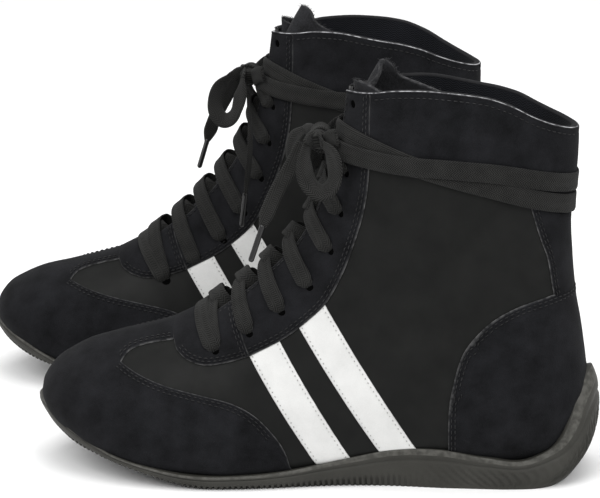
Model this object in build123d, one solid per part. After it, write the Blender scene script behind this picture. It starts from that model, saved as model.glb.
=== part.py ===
from build123d import *
import math
import os

# Pair of ankle-high boxing boots, millimetres, toes toward -X, +Z up.
# Boot coordinates: s = distance in front of the heel (x = -s), y < 0 on the outer (lateral)
# side of the left boot, z = height above the floor.  The right boot is its mirror image.

# ---------------------------------------------------------------- driving dimensions
LINING = 1.2            # sock lining of the upper
BASE = 1.4              # synthetic leather of vamp and quarters
OVERLAY = 1.4           # suede overlays
STRIPE = 0.8            # white side stripes
STIFFENER = 0.7         # toe puff and heel stiffener inside the base layer
TONGUE = 2.6            # padded tongue
TONGUE_GAP = 0.45       # air between tongue and lining
LACE_WIDTH = 9.5        # flat lace
LACE_THICK = 1.4
LACE_AIR = 0.15         # lace lies just off the suede
BOOT_SPACING = 145.0    # right boot beside the left one
BOOT_STAGGER = 58.0     # right boot stands this much further forward
TOPLINE_OPEN_TOP = 5.5  # half width of the lacing gap at the top
TOPLINE_OPEN_LOW = 12.0 # half width of the lacing gap at the throat
TONGUE_TOP = 213.0      # height of the tongue edge
GROOVE_DEPTH = 1.1      # tread grooves across the sole
GROOVE_WIDTH = 1.8
AGLET_LENGTH = 18.0
AGLET_DIAMETER = 3.0
CORD_DIAMETER = 6.8     # round tube around a flat lace that hangs free
TONGUE_HALF = 21.0
KNOT_S = 138.0
KNOT_Z = 175.0
KNOT_SIZE = (11.0, 14.0, 12.0)

# The upper is built on planes that fan out from one axis in front of the ankle.
PIVOT_S = 344.0
PIVOT_Z = 273.0

# outer contour in side view, front and top line, from the toe tip to the collar (s, z)
FRONT_LINE = [(288, 39), (286, 45), (279, 52), (265, 58.5), (247, 63), (230, 67.5), (214, 73),
              (200, 81), (185, 93), (170, 107), (156, 122.5), (146, 137), (138, 153), (132, 171),
              (128, 190), (125, 212), (123, 236)]
# sole and back line, from the toe tip round the heel to the collar (s, z)
BACK_LINE = [(287, 32.5), (279, 24.5), (257, 14), (228, 7), (190, 4.5), (150, 5), (100, 8),
             (50, 8), (28, 10), (13, 17), (6, 30), (3, 45), (4, 60), (6, 75), (9, 95), (11, 115),
             (12, 135), (11, 155), (9, 175), (8, 190), (7, 216)]
# fan angle, half width outer side, half width inner side, height share of the widest point,
# roundness of the front half, roundness of the back half, sideways shift
STATIONS = [
    (12.95, 6, 6, 0.60, 1.00, 0.90, 4), (13.6, 14, 13, 0.62, 0.95, 0.80, 4),
    (15.0, 25, 24, 0.66, 0.92, 0.70, 3.6), (17.0, 33.5, 32, 0.70, 0.92, 0.60, 3),
    (20.0, 41, 39, 0.74, 0.95, 0.46, 2), (25.0, 46, 43.5, 0.78, 1.00, 0.36, 1),
    (30.0, 46.5, 41, 0.80, 1.00, 0.36, 0), (36.0, 41, 34, 0.78, 1.00, 0.38, 0),
    (43.0, 36, 31, 0.72, 1.00, 0.45, 0), (50.0, 34, 32, 0.66, 1.00, 0.60, 0),
    (56.0, 33, 32, 0.60, 1.00, 0.75, 0), (62.0, 31, 30, 0.56, 1.00, 0.90, 0),
    (70.0, 26, 26, 0.54, 0.95, 0.95, 0), (80.0, 24, 24, 0.54, 0.90, 0.95, 0)]
LOFT_ANGLES = [13.6, 15, 17, 20, 24, 28.5, 33, 38, 43, 48, 53, 58, 63, 68, 73.5, 80]
SECTION_POINTS = 28
TOE_SHIFT_SPAN = 12.0    # degrees of fan over which the toe end moves with the layer

# side-view lines of the sole (s, z)
SOLE_TOP = [(292, 33), (284, 32.5), (272, 26.5), (262, 21.5), (252, 17), (237, 12), (217, 8.8),
            (193, 7.5), (176, 7.8), (158, 9), (138, 12.5), (121, 16), (105, 19.5), (88, 21),
            (71, 20), (53, 16.8), (34, 14.6), (23, 17), (15, 24), (10, 36), (7, 46), (2, 54),
            (-2, 55.5)]
SOLE_REAR = [(-2, 55.5), (-4.4, 45), (-5, 32), (-3, 19), (3, 8.5), (12, 2.6), (24, 0)]
SOLE_TOE = [(212, 0), (228, 1.0), (244, 4.2), (262, 9.8), (278, 16.4), (287, 21.5), (292, 26)]
# plan half widths of the sole (s, outer, inner)
SOLE_PLAN = [(-5, 0, 0), (-3.6, 9, 9), (2, 18, 18), (12, 25.5, 25.5), (28, 31, 30.5),
             (55, 34, 32.5), (100, 35, 29), (135, 39, 30), (165, 45, 36.5), (195, 48.5, 45),
             (222, 47.5, 48), (245, 42, 45), (262, 33.5, 38.5), (275, 23.5, 30.5), (284, 12, 20.5),
             (289.5, -3.5, 5)]
# lasting edge: the upper ends and the bottom parts start here (s, z)
FEATHER = [(296, 30), (286, 28.5), (279, 25.5), (257, 16), (228, 8.8), (190, 6.2), (150, 6.8),
           (100, 10.2), (50, 10.2), (28, 12), (13, 14), (-10, 15)]
FOOTBED_TOP = [(276, 29.5), (268, 25.5), (257, 21.5), (228, 14.6), (190, 12), (150, 12.6),
               (100, 15.6), (50, 15.6), (28, 17), (12, 22), (0, 27)]
# back view of the heel kick: half width over height (half width, z)
HEEL_BACK = [(36, -1), (36, 12), (33, 22), (27.5, 32), (20.5, 41), (13.5, 48), (7, 53), (0, 55.5)]
TOPLINE = [(150, 196), (126, 200), (112, 201), (98, 203.2), (84, 203.8), (69, 203), (54, 201),
           (41, 196.5), (30, 190.5), (20, 186), (9, 182.5), (-10, 181)]

# panel outlines in side view (s, z)
MUDGUARD_LINE = [(242, 58.5), (229, 54.5), (217, 51.5), (197, 47.5), (181, 43.5), (169, 37),
                 (159, 26.5), (152, 15), (149, 0)]
TOE_STRIP_HALF = 13.5
THROAT_FRONT = [(217, 95), (216.5, 72), (212.5, 66), (206, 62.7), (196.5, 61), (186, 62.6),
                (173.5, 66.5)]
EYESTAY_JOIN = [(178.5, 84), (184, 110)]
EYESTAY_REAR = [(173.5, 66.5), (158, 74.5), (148, 81.5), (135, 93.5), (126.5, 108.5),
                (121.5, 121), (116.5, 136), (113.5, 150), (112.3, 164), (111.8, 184),
                (111.6, 230)]
STRIPE_FRONT = [(173.5, 66.5), (158, 74.5), (112, 0), (131, 0)]
STRIPE_REAR = [(148, 81.5), (135, 93.5), (75, 0), (94.5, 0)]
VAMP_SEAM = [(181, 90), (131, 0)]
COUNTER_EDGE = [(71.8, 0), (71.5, 40), (69, 56), (65, 70), (58.5, 80), (48.5, 89.5), (35.5, 96),
                (20, 99.5), (-10, 102)]
STIFFENER_EDGE = [(60, 0), (58, 45), (50, 66), (36, 78), (-10, 82)]
COLLAR_LOW = [(112.2, 164), (92, 161.5), (70, 158), (40, 152), (-10, 146)]
BACKSTAY_EDGE = [(35, 160), (31.5, 146), (26, 129), (22, 117), (19, 99)]
WRAP_UPPER = [(142, 181), (127, 175.5), (111, 173.6), (95, 169), (71, 166.3), (46, 163.4),
              (11, 154.5), (-6, 151)]
WRAP_LOWER = [(112, 166), (95, 162.5), (74, 157), (54, 152.8), (29, 146.8), (12, 142), (-6, 139)]

# lacing rows: height angle in the fan and half distance between the eyelets
LACE_ROWS = [(36.6, 25.5), (40.9, 24), (45.3, 22.5), (49.5, 21), (54.2, 19.5), (58.5, 18),
             (62.8, 15.5), (66.8, 13)]

# bow loops and lace ends of the left boot (s, y, z)
LOOP_LATERAL = [(136.6, -10.8, 174), (131.8, -18.5, 172), (128, -25.5, 165.5),
                (128.8, -27.5, 156.5), (135.5, -27, 151.5), (142.5, -25.5, 156.5),
                (145.2, -20.5, 166), (144.2, -10.8, 174)]
TAIL_LATERAL = [(147.2, -2, 172), (151, -6.5, 162), (156, -12, 151.5), (161, -16, 141),
                (162, -18, 131)]
LOOP_MEDIAL = [(143, 10.8, 175.5), (145.5, 16, 169.5), (147, 18.5, 160), (150.5, 19, 151.5),
               (158, 18, 150), (162.5, 16, 157), (161, 14, 166.5), (156.5, 12, 173.5),
               (150.6, 10.8, 175.5)]
TAIL_MEDIAL = [(138.6, 6, 164.6), (137.5, 14, 157), (135.5, 22.5, 148.5), (135, 28, 138),
               (136.2, 30, 125), (138, 30.5, 112)]

os.makedirs("parts", exist_ok=True)


# ---------------------------------------------------------------- helpers
def smooth(x, xs, ys):
    """Monotone cubic interpolation through (xs, ys)."""
    n = len(xs)
    h = [xs[i + 1] - xs[i] for i in range(n - 1)]
    d = [(ys[i + 1] - ys[i]) / h[i] for i in range(n - 1)]
    m = [d[0]] + [0.0] * (n - 2) + [d[-1]]
    for i in range(1, n - 1):
        if d[i - 1] * d[i] > 0:
            w1 = 2 * h[i] + h[i - 1]
            w2 = h[i] + 2 * h[i - 1]
            m[i] = (w1 + w2) / (w1 / d[i - 1] + w2 / d[i])
    x = min(max(x, xs[0]), xs[-1])
    i = max(j for j in range(n - 1) if xs[j] <= x)
    t = (x - xs[i]) / h[i]
    h00 = (1 + 2 * t) * (1 - t) ** 2
    h10 = t * (1 - t) ** 2
    h01 = t * t * (3 - 2 * t)
    h11 = t * t * (t - 1)
    return h00 * ys[i] + h10 * h[i] * m[i] + h01 * ys[i + 1] + h11 * h[i] * m[i + 1]


def polar(point):
    """Side-view point to fan angle (degrees) and distance from the fan axis."""
    s, z = point
    return math.degrees(math.atan2(PIVOT_S - s, PIVOT_Z - z)), math.hypot(PIVOT_S - s, PIVOT_Z - z)


FRONT_ANGLE, FRONT_DISTANCE = zip(*[polar(p) for p in FRONT_LINE])
BACK_ANGLE, BACK_DISTANCE = zip(*[polar(p) for p in BACK_LINE])
STATION_ANGLE = [row[0] for row in STATIONS]


def grown(half, offset):
    """Half size moved outward by offset; a small half size never shrinks to nothing."""
    return half * math.exp(offset / half)


def skin_point(angle, share, offset, turn=0.0):
    """Point of the upper's skin: share 0 front centre, -1..0 outer side, 0..1 inner side."""
    front = smooth(angle, FRONT_ANGLE, FRONT_DISTANCE)
    back = smooth(angle, BACK_ANGLE, BACK_DISTANCE)
    depth_half = grown((back - front) / 2, offset)
    middle = (front + back) / 2
    outer, inner, widest, round_front, round_back, shift = [
        smooth(angle, STATION_ANGLE, [row[k] for row in STATIONS]) for k in range(1, 7)]
    round_angle = abs(share) * math.pi
    cosine = abs(math.cos(round_angle))
    if round_angle <= math.pi / 2:
        depth = widest * (1 - cosine ** round_front)
        side = abs(math.sin(round_angle)) ** round_front
    else:
        depth = widest + (1 - widest) * cosine ** round_back
        side = abs(math.sin(round_angle)) ** round_back
    half = grown(outer if share < 0 else inner, offset)
    y = math.copysign(half * side, share) + shift
    distance = middle + depth_half * (2 * depth - 1)
    a = math.radians(angle - turn)
    return Vector(-(PIVOT_S - distance * math.sin(a)), y, PIVOT_Z - distance * math.cos(a))


def foot_volume(offset):
    """Solid bounded by the skin moved outward by offset (negative is inward)."""
    tip_turn = math.degrees(offset / FRONT_DISTANCE[0])
    wires = []
    for angle in [STATION_ANGLE[0]] + LOFT_ANGLES:
        turn = tip_turn * max(0.0, 1 - (angle - STATION_ANGLE[0]) / TOE_SHIFT_SPAN)
        shares = [-1 + 2 * i / SECTION_POINTS for i in range(SECTION_POINTS)]
        wires.append(Wire.make_polygon([skin_point(angle, k, offset, turn) for k in shares]))
    return Solid.make_loft(wires)


def side_prism(points, y_from=-120.0, y_to=120.0):
    """Prism across the boot over a side-view outline of (s, z) points."""
    outline = Polyline(*[(-s, z) for s, z in points], close=True)
    face = make_face(outline)
    return extrude(Plane.XZ.offset(-y_to) * face, y_to - y_from)


def raised(line, dz):
    """The same side-view line, dz higher."""
    return [(s, z + dz) for s, z in line]


def above(line, y_from=-120.0, y_to=120.0, high=300.0):
    """Everything above a side-view line."""
    return side_prism(line + [(line[-1][0], high), (line[0][0], high)], y_from, y_to)


def below(line, y_from=-120.0, y_to=120.0, low=-40.0):
    """Everything below a side-view line."""
    return side_prism(line + [(line[-1][0], low), (line[0][0], low)], y_from, y_to)


def behind(line, y_from=-120.0, y_to=120.0, back=-60.0):
    """Everything behind a side-view line."""
    return side_prism(line + [(back, line[-1][1]), (back, line[0][1])], y_from, y_to)


def front_band(angle_from, angle_to, depth):
    """Side-view outline that follows the front line, from 20 mm outside it to depth inside."""
    angles = [angle_from + (angle_to - angle_from) * i / 14 for i in range(15)]
    band = []
    for reach, order in ((-20.0, angles), (depth, angles[::-1])):
        for angle in order:
            distance = smooth(angle, FRONT_ANGLE, FRONT_DISTANCE) + reach
            a = math.radians(angle)
            band.append((PIVOT_S - distance * math.sin(a), PIVOT_Z - distance * math.cos(a)))
    return band


def band_along(line, half_width):
    """Side-view outline of a strip centred on a line."""
    upper, lower = [], []
    for i, (s, z) in enumerate(line):
        before, after = line[max(i - 1, 0)], line[min(i + 1, len(line) - 1)]
        ds, dz = after[0] - before[0], after[1] - before[1]
        length = math.hypot(ds, dz)
        upper.append((s + dz / length * half_width, z - ds / length * half_width))
        lower.append((s - dz / length * half_width, z + ds / length * half_width))
    return upper + lower[::-1]


def half_share(angle, half):
    """Share around the section where the skin is half away from the middle plane."""
    shares = [0.5 * i / 200 for i in range(201)]
    return min(shares, key=lambda k: abs(abs(skin_point(angle, k, 0.0).Y) - half))


def at(s, y, z):
    return Vector(-s, y, z)


def biggest(shape, smallest=2.0):
    """Only the real bodies of a cut, without the crumbs at its corners."""
    kept = [solid for solid in shape.solids() if solid.volume > smallest]
    return kept[0] if len(kept) == 1 else Compound(kept)


def fillet_radii(points):
    """Bend radii as large as the straight runs allow."""
    radii = []
    for before, here, after in zip(points, points[1:], points[2:]):
        turn = math.radians((here - before).get_angle(after - here))
        shorter = min((here - before).length, (after - here).length)
        radii.append(0.45 * shorter / math.tan(turn / 2))
    return radii


def cord(name, points):
    """Round tube that stands for a limp flat lace, with a ball at the end by the knot."""
    radii = fillet_radii(points)
    path = FilletPolyline(*points, radius=radii)
    tube = sweep(Plane(path @ 0, z_dir=path % 0) * Circle(CORD_DIAMETER / 2), path)
    section = math.pi * CORD_DIAMETER ** 2 / 4
    print(name, "radii", [round(r, 1) for r in radii], "length", round(path.length, 1),
          "volume ratio", round(tube.volume / (section * path.length), 4))
    return tube, path


def export(name, shape):
    shape.label = name
    export_step(shape, f"parts/{name}.step")


# ---------------------------------------------------------------- layers of one boot
SKIN_STRIPE = STRIPE - OVERLAY
SKIN_BASE = -OVERLAY
SKIN_STIFF = STIFFENER - OVERLAY - BASE
SKIN_LINING = -OVERLAY - BASE
INSIDE = -OVERLAY - BASE - LINING
LACE_UNDER = LACE_AIR
LACE_OVER = LACE_AIR + LACE_THICK
TONGUE_FACE = INSIDE - TONGUE_GAP
TONGUE_BACK = INSIDE - TONGUE_GAP - TONGUE
foot = {offset: foot_volume(offset) for offset in (
    LACE_OVER, LACE_UNDER, 0.0, SKIN_STRIPE, SKIN_BASE, SKIN_STIFF, SKIN_LINING, INSIDE,
    TONGUE_FACE, TONGUE_BACK)}

lacing_gap = side_prism(front_band(36.0, 84.0, 13.0))
gap_front = Polyline((-TOPLINE_OPEN_LOW, 60), (TOPLINE_OPEN_LOW, 60), (TOPLINE_OPEN_TOP, 215),
                     (-TOPLINE_OPEN_TOP, 215), close=True)
lacing_gap &= extrude(Plane.YZ.offset(-260) * make_face(gap_front), 180)
under_topline = side_prism([(330, -60), (330, 196)] + TOPLINE + [(-30, 181), (-30, -60)])
OUTER_SIDE = Pos(-150, -60, 120) * Box(400, 120, 300)
INNER_SIDE = Pos(-150, 60, 120) * Box(400, 120, 300)


def upper_layer(outside, inside):
    """One layer of the upper, from the lasting edge to the top line, open at the lacing."""
    layer = (foot[outside] & under_topline) - foot[inside]
    return (layer & above(raised(FEATHER, -outside))) - lacing_gap


lining_layer = upper_layer(SKIN_LINING, INSIDE)
base_layer = upper_layer(SKIN_BASE, SKIN_LINING)
overlay_layer = upper_layer(0.0, SKIN_BASE)
stripe_layer = upper_layer(SKIN_STRIPE, SKIN_BASE)
stiff_layer = upper_layer(SKIN_STIFF, SKIN_LINING)

boot = {}

# ---------------------------------------------------------------- sole
plan_outer = [at(s, -outer, 0) for s, outer, inner in SOLE_PLAN]
plan_inner = [at(s, inner, 0) for s, outer, inner in SOLE_PLAN[1:-1]]
plan = Spline(*(plan_outer + plan_inner[::-1]), periodic=True)
plan_block = extrude(make_face(plan), 70)
sole_profile = SOLE_TOP + SOLE_REAR[1:] + SOLE_TOE[:-1] + [(292, 26)]
outsole = (plan_block & side_prism(sole_profile)) - foot[0.0]
grooves = [Pos(-s, 0, 0) * Box(GROOVE_WIDTH, 120, 2 * GROOVE_DEPTH)
           for s in list(range(155, 212, 8)) + list(range(34, 100, 8))]
outsole -= Compound(grooves)
heel_outline = Spline(*[(y, z) for y, z in HEEL_BACK[1:]], tangents=((0, 1), (-1, 0)))
heel_face = make_face(heel_outline + Polyline(HEEL_BACK[-1], (0, -1), HEEL_BACK[0], HEEL_BACK[1]))
heel_half = extrude(Plane.YZ.offset(-26) * heel_face, 60)
heel_corners = Pos(2, 0, 30) * Box(56, 90, 62) - heel_half - mirror(heel_half, Plane.XZ)
outsole -= heel_corners
boot["outsole"] = biggest(outsole)
filler = (foot[0.0] & below(FEATHER)) + (foot[SKIN_BASE] & below(raised(FEATHER, OVERLAY)))
boot["midsole"] = biggest(filler - foot[SKIN_LINING])
board_room = below(raised(FEATHER, OVERLAY + BASE))
boot["insole_board"] = biggest((foot[SKIN_LINING] & board_room) - foot[INSIDE])
boot["footbed"] = biggest(foot[INSIDE] & below(FOOTBED_TOP) & side_prism(
    [(0, -20), (0, 60), (274, 60), (274, -20)]))

# ---------------------------------------------------------------- upper, inner layers
boot["lining"] = biggest(lining_layer)
vamp_side = side_prism([(330, 0), VAMP_SEAM[1], VAMP_SEAM[0], (190, 140), (330, 140)])
boot["toe_puff"] = biggest(stiff_layer & side_prism([(240, 0), (240, 90), (320, 90), (320, 0)]))
boot["heel_stiffener"] = biggest(stiff_layer & behind(STIFFENER_EDGE))
boot["vamp"] = biggest((base_layer & vamp_side) - boot["toe_puff"])
quarters = (base_layer - vamp_side) - boot["heel_stiffener"]
boot["quarter_lateral"] = biggest(quarters & OUTER_SIDE)
boot["quarter_medial"] = biggest(quarters & INNER_SIDE)

# ---------------------------------------------------------------- upper, suede overlays
mudguard = side_prism([(242, 90)] + MUDGUARD_LINE + [(330, 0), (330, 90)])
toe_strip = Pos(-220, 0, 80) * Box(60, 2 * TOE_STRIP_HALF, 80)
throat = side_prism(THROAT_FRONT + EYESTAY_JOIN + [(200, 130)])
eyestay = side_prism(EYESTAY_REAR + [(170, 230), (190, 120)] + EYESTAY_JOIN[::-1])
boot["throat_piece"] = biggest(overlay_layer & throat)
boot["toe_cap"] = biggest((overlay_layer & (mudguard + toe_strip)) - throat - eyestay)
boot["eyestay_lateral"] = biggest((overlay_layer & eyestay) & OUTER_SIDE)
boot["eyestay_medial"] = biggest((overlay_layer & eyestay) & INNER_SIDE)
counter = behind(COUNTER_EDGE)
boot["heel_counter"] = biggest(overlay_layer & counter)
collar = above(COLLAR_LOW) & behind([(112.2, 120), (111.6, 260)])
boot["collar"] = biggest(overlay_layer & collar)
backstay = behind(BACKSTAY_EDGE) - counter - collar
boot["backstay"] = biggest(overlay_layer & backstay)
stripes = stripe_layer & (side_prism(STRIPE_FRONT) + side_prism(STRIPE_REAR))
stripes -= mudguard
boot["stripes_lateral"] = biggest(stripes & OUTER_SIDE)
boot["stripes_medial"] = biggest(stripes & INNER_SIDE)

# ---------------------------------------------------------------- tongue
tongue_room = side_prism(front_band(33.6, 84.0, 26.0))
tongue_room &= Pos(-160, 0, 120) * Box(160, 2 * TONGUE_HALF, 2 * (TONGUE_TOP - 120))
boot["tongue"] = biggest((foot[TONGUE_FACE] & tongue_room) - foot[TONGUE_BACK])
tongue_hinge = skin_point(33.6, 0.0, (TONGUE_FACE + TONGUE_BACK) / 2)

# ---------------------------------------------------------------- laces
bars = []
for row, (angle, half) in enumerate(LACE_ROWS):
    here = [skin_point(angle, side * half_share(angle, half), 0.0) for side in (-1, 1)]
    if row == 0:
        bars.append((here[0], here[1], angle))
    if row + 1 < len(LACE_ROWS):
        next_angle, next_half = LACE_ROWS[row + 1]
        there = [skin_point(next_angle, side * half_share(next_angle, next_half), 0.0)
                 for side in (1, -1)]
        bars += [(here[0], there[0], (angle + next_angle) / 2),
                 (here[1], there[1], (angle + next_angle) / 2)]
threaded = None
for start, end, angle in bars:
    a = math.radians(angle)
    outward = Vector(-math.sin(a), 0, math.cos(a))
    middle = (start + end) / 2 + outward * 8
    strip = Plane(middle, x_dir=end - start, z_dir=outward) * Box(
        (end - start).length + 5, LACE_WIDTH, 44)
    piece = (foot[LACE_OVER] & strip) - foot[LACE_UNDER]
    threaded = piece if threaded is None else threaded + piece
boot["lace_threaded"] = biggest(threaded)
wrap_room = side_prism(band_along(WRAP_UPPER, LACE_WIDTH / 2))
wrap_room += side_prism(band_along(WRAP_LOWER, LACE_WIDTH / 2))
wrap = (foot[LACE_OVER] & wrap_room) - foot[LACE_UNDER]
boot["lace_ankle_wrap"] = biggest(wrap - boot["lace_threaded"])
knot = fillet((Pos(-KNOT_S, 0, KNOT_Z) * Box(*KNOT_SIZE)).edges(), 3.0)
boot["lace_knot"] = biggest(knot - foot[LACE_OVER])

cords = {}
for side, loop_points, tail_points in (
        ("lateral", LOOP_LATERAL, TAIL_LATERAL), ("medial", LOOP_MEDIAL, TAIL_MEDIAL)):
    ball = Sphere(CORD_DIAMETER / 2)
    points = [at(*p) for p in loop_points]
    tube, path = cord("bow_loop_" + side, points)
    cords["bow_loop_" + side] = tube + Pos(*points[0]) * ball + Pos(*points[-1]) * ball
    points = [at(*p) for p in tail_points]
    tube, path = cord("lace_tail_" + side, points)
    cords["lace_tail_" + side] = tube + Pos(*points[0]) * ball
    aglet_plane = Plane(path @ 1, z_dir=path % 1)
    cords["aglet_" + side] = extrude(aglet_plane * Circle(AGLET_DIAMETER / 2), AGLET_LENGTH)
boot.update({name: biggest(shape) for name, shape in cords.items()})

# ---------------------------------------------------------------- the pair
pair = {}
for name, shape in boot.items():
    pair["left_" + name] = shape
    pair["right_" + name] = Pos(-BOOT_STAGGER, BOOT_SPACING, 0) * mirror(shape, Plane.XZ)
measured = Compound([shape for name, shape in pair.items()
                     if not any(word in name for word in ("loop", "tail", "aglet"))])
box = measured.bounding_box()
origin = Vector((box.min.X + box.max.X) / 2, (box.min.Y + box.max.Y) / 2, box.min.Z)
for name, shape in pair.items():
    export(name, Pos(-origin.X, -origin.Y, -origin.Z) * shape)
print("pair size", box.size, "moved by", -origin)
print("tongue hinge of the left boot", tongue_hinge - origin)
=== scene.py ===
import math

import bmesh
import bpy
import numpy as np
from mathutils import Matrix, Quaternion, Vector
from mathutils.geometry import delaunay_2d_cdt

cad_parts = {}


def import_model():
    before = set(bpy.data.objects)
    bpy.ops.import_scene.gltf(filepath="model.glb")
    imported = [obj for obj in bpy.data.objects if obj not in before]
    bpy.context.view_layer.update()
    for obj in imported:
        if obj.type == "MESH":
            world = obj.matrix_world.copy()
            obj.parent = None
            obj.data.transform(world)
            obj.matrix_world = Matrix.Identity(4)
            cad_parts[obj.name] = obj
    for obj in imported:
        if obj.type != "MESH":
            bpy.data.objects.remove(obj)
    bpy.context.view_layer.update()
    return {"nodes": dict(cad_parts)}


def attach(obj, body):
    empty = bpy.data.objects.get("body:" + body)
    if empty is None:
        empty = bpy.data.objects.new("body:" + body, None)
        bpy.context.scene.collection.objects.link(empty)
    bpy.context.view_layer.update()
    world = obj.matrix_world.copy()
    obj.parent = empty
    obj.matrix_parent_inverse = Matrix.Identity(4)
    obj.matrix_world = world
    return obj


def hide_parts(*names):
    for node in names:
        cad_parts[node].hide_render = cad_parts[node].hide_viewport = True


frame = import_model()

# ---- small helpers
def unit(v):
    return v / np.maximum(np.linalg.norm(v, axis=-1, keepdims=True), 1e-9)


def bell(x, centre, width):
    return np.exp(-(((x - centre) / width) ** 2))


def above(x, level, width):
    """0 well below the level, 1 well above it."""
    return 1 / (1 + np.exp(-(x - level) / width))


def run_along(points):
    """Distance along a line of points, from its first one."""
    return np.concatenate([[0], np.cumsum(np.linalg.norm(np.diff(points, axis=0), axis=1))])


# ---- frame of the boots
# Boot coordinates in millimetres: s forward from the heel, y (outer side negative on the left
# boot), z up.  ORIGIN moves them into the row frame.
ORIGIN_X, ORIGIN_Y = 171.54, -72.5
SPACING, STAGGER = 145.0, 58.0


def domed(p):
    """The left boot's toe box and instep stand a little higher along the crest."""
    s, y, z = p[..., 0], p[..., 1], p[..., 2]
    along = np.interp(s, [150, 172, 192, 215, 245, 262, 276, 286], [0, 2.2, 5.0, 5.6, 5.2, 3.6, 1.6, 0])
    high = np.clip((z - 28) / 26, 0, 1)
    rise = along * bell(y, 6, 19) * high * high * (3 - 2 * high)
    return np.stack([s, y, z + rise], -1)


def world(points, boot):
    """Boot points (s, y, z) in millimetres to row-frame metres."""
    p = np.asarray(points, float)
    if boot == "left":
        p = domed(p)
    x, y = -p[..., 0], p[..., 1]
    if boot == "right":
        x, y = x - STAGGER, SPACING - y
    return np.stack([x + ORIGIN_X, y + ORIGIN_Y, p[..., 2]], -1) / 1000


# ---- camera
CAM_AZ, CAM_EL, CAM_ROLL, CAM_DISTANCE, CAM_LENS = 7.7, 16.3, -1.06, 1.320, 154.4
CAM_TARGET = Vector(world((150.2, 0, 115.35), "left"))


def make_camera():
    data = bpy.data.cameras.new("camera")
    data.sensor_width = 36
    data.lens = CAM_LENS
    data.clip_start, data.clip_end = 0.05, 20
    cam = bpy.data.objects.new("camera", data)
    bpy.context.scene.collection.objects.link(cam)
    azimuth, elevation = math.radians(CAM_AZ), math.radians(CAM_EL)
    level = math.cos(elevation)
    back = Vector((math.sin(azimuth) * level, -math.cos(azimuth) * level, math.sin(elevation)))
    cam.location = CAM_TARGET + back * CAM_DISTANCE
    cam.rotation_mode = "QUATERNION"
    turn = (-back).to_track_quat("-Z", "Y")
    cam.rotation_quaternion = turn @ Quaternion((0, 0, 1), math.radians(CAM_ROLL))
    bpy.context.scene.camera = cam


make_camera()

# ---- shape of the upper
PIVOT_S, PIVOT_Z = 344.0, 273.0
FRONT_LINE = [(288, 39), (286, 45), (279, 52), (265, 58.5), (247, 63), (230, 67.5), (214, 73),
              (200, 81), (185, 93), (170, 107), (156, 122.5), (146, 137), (138, 153), (132, 171),
              (128, 190), (125, 212), (123, 236)]
BACK_LINE = [(287, 32.5), (279, 24.5), (257, 14), (228, 7), (190, 4.5), (150, 5), (100, 8),
             (50, 8), (28, 10), (13, 17), (6, 30), (3, 45), (4, 60), (6, 75), (9, 95), (11, 115),
             (12, 135), (11, 155), (9, 175), (8, 190), (7, 216)]
STATIONS = np.array([
    (12.95, 6, 6, 0.60, 1.00, 0.90, 4), (13.6, 14, 13, 0.62, 0.95, 0.80, 4),
    (15.0, 25, 24, 0.66, 0.92, 0.70, 3.6), (17.0, 33.5, 32, 0.70, 0.92, 0.60, 3),
    (20.0, 41, 39, 0.74, 0.95, 0.46, 2), (25.0, 46, 43.5, 0.78, 1.00, 0.36, 1),
    (30.0, 46.5, 41, 0.80, 1.00, 0.36, 0), (36.0, 41, 34, 0.78, 1.00, 0.38, 0),
    (43.0, 36, 31, 0.72, 1.00, 0.45, 0), (50.0, 34, 32, 0.66, 1.00, 0.60, 0),
    (56.0, 33, 32, 0.60, 1.00, 0.75, 0), (62.0, 31, 30, 0.56, 1.00, 0.90, 0),
    (70.0, 26, 26, 0.54, 0.95, 0.95, 0), (80.0, 24, 24, 0.54, 0.90, 0.95, 0)])
SOLE_TOP = [(292, 33), (284, 32.5), (272, 26.5), (262, 21.5), (252, 17), (237, 12), (217, 8.8),
            (193, 7.5), (176, 7.8), (158, 9), (138, 12.5), (121, 16), (105, 19.5), (88, 21),
            (71, 20), (53, 16.8), (34, 14.6), (23, 17)]
FEATHER = [(296, 30), (286, 28.5), (279, 25.5), (257, 16), (228, 8.8), (190, 6.2), (150, 6.8),
           (100, 10.2), (50, 10.2), (28, 12), (13, 14), (-10, 15)]
TOPLINE = [(150, 196), (126, 200), (112, 201), (98, 203.2), (84, 203.8), (69, 203), (54, 201),
           (41, 196.5), (30, 190.5), (20, 186), (9, 182.5), (-10, 181)]
MUDGUARD_LINE = [(242, 58.5), (229, 54.5), (217, 51.5), (197, 47.5), (181, 43.5), (169, 37),
                 (159, 26.5), (152, 15), (149, 0)]
THROAT_FRONT = [(216, 70.8), (212.5, 66), (206, 62.7), (196.5, 61), (186, 62.6), (173.5, 66.5)]
EYESTAY_REAR = [(173.5, 66.5), (158, 74.5), (148, 81.5), (135, 93.5), (126.5, 108.5),
                (121.5, 121), (116.5, 136), (113.5, 150), (112.3, 164), (111.8, 184),
                (111.6, 200.9)]
COUNTER_EDGE = [(71.8, 8), (71.5, 40), (69, 56), (65, 70), (58.5, 80), (48.5, 89.5), (35.5, 96),
                (20, 99.5), (8, 101)]
COLLAR_LOW = [(112.2, 164), (92, 161.5), (70, 158), (40, 152), (10, 147)]
BACKSTAY_EDGE = [(33.5, 152), (31.5, 146), (26, 129), (22, 117), (18.5, 98)]
WRAP_OVER = [(142, 174.5), (131, 172.3), (122, 170), (112, 168.8), (90, 166.4), (71, 165.6),
             (46, 163.2), (11, 155.3)]
WRAP_UNDER = [(142, 183), (131, 181.4), (122, 178.8), (112, 174.9), (102, 171.3), (90, 167),
              (81, 163.8), (60, 158.5), (30, 149.6), (12, 144.3)]
GAP_TOP, GAP_LOW = 5.5, 12.0
LACE_ROWS = [(36.6, 25.5), (40.9, 24), (45.3, 22.5), (49.5, 21), (54.2, 19.5), (58.5, 18),
             (62.8, 15.5), (66.8, 13)]
TOP_EYELET = (70.6, 11.5)
EYELET_RADIUS = 2.0
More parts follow.
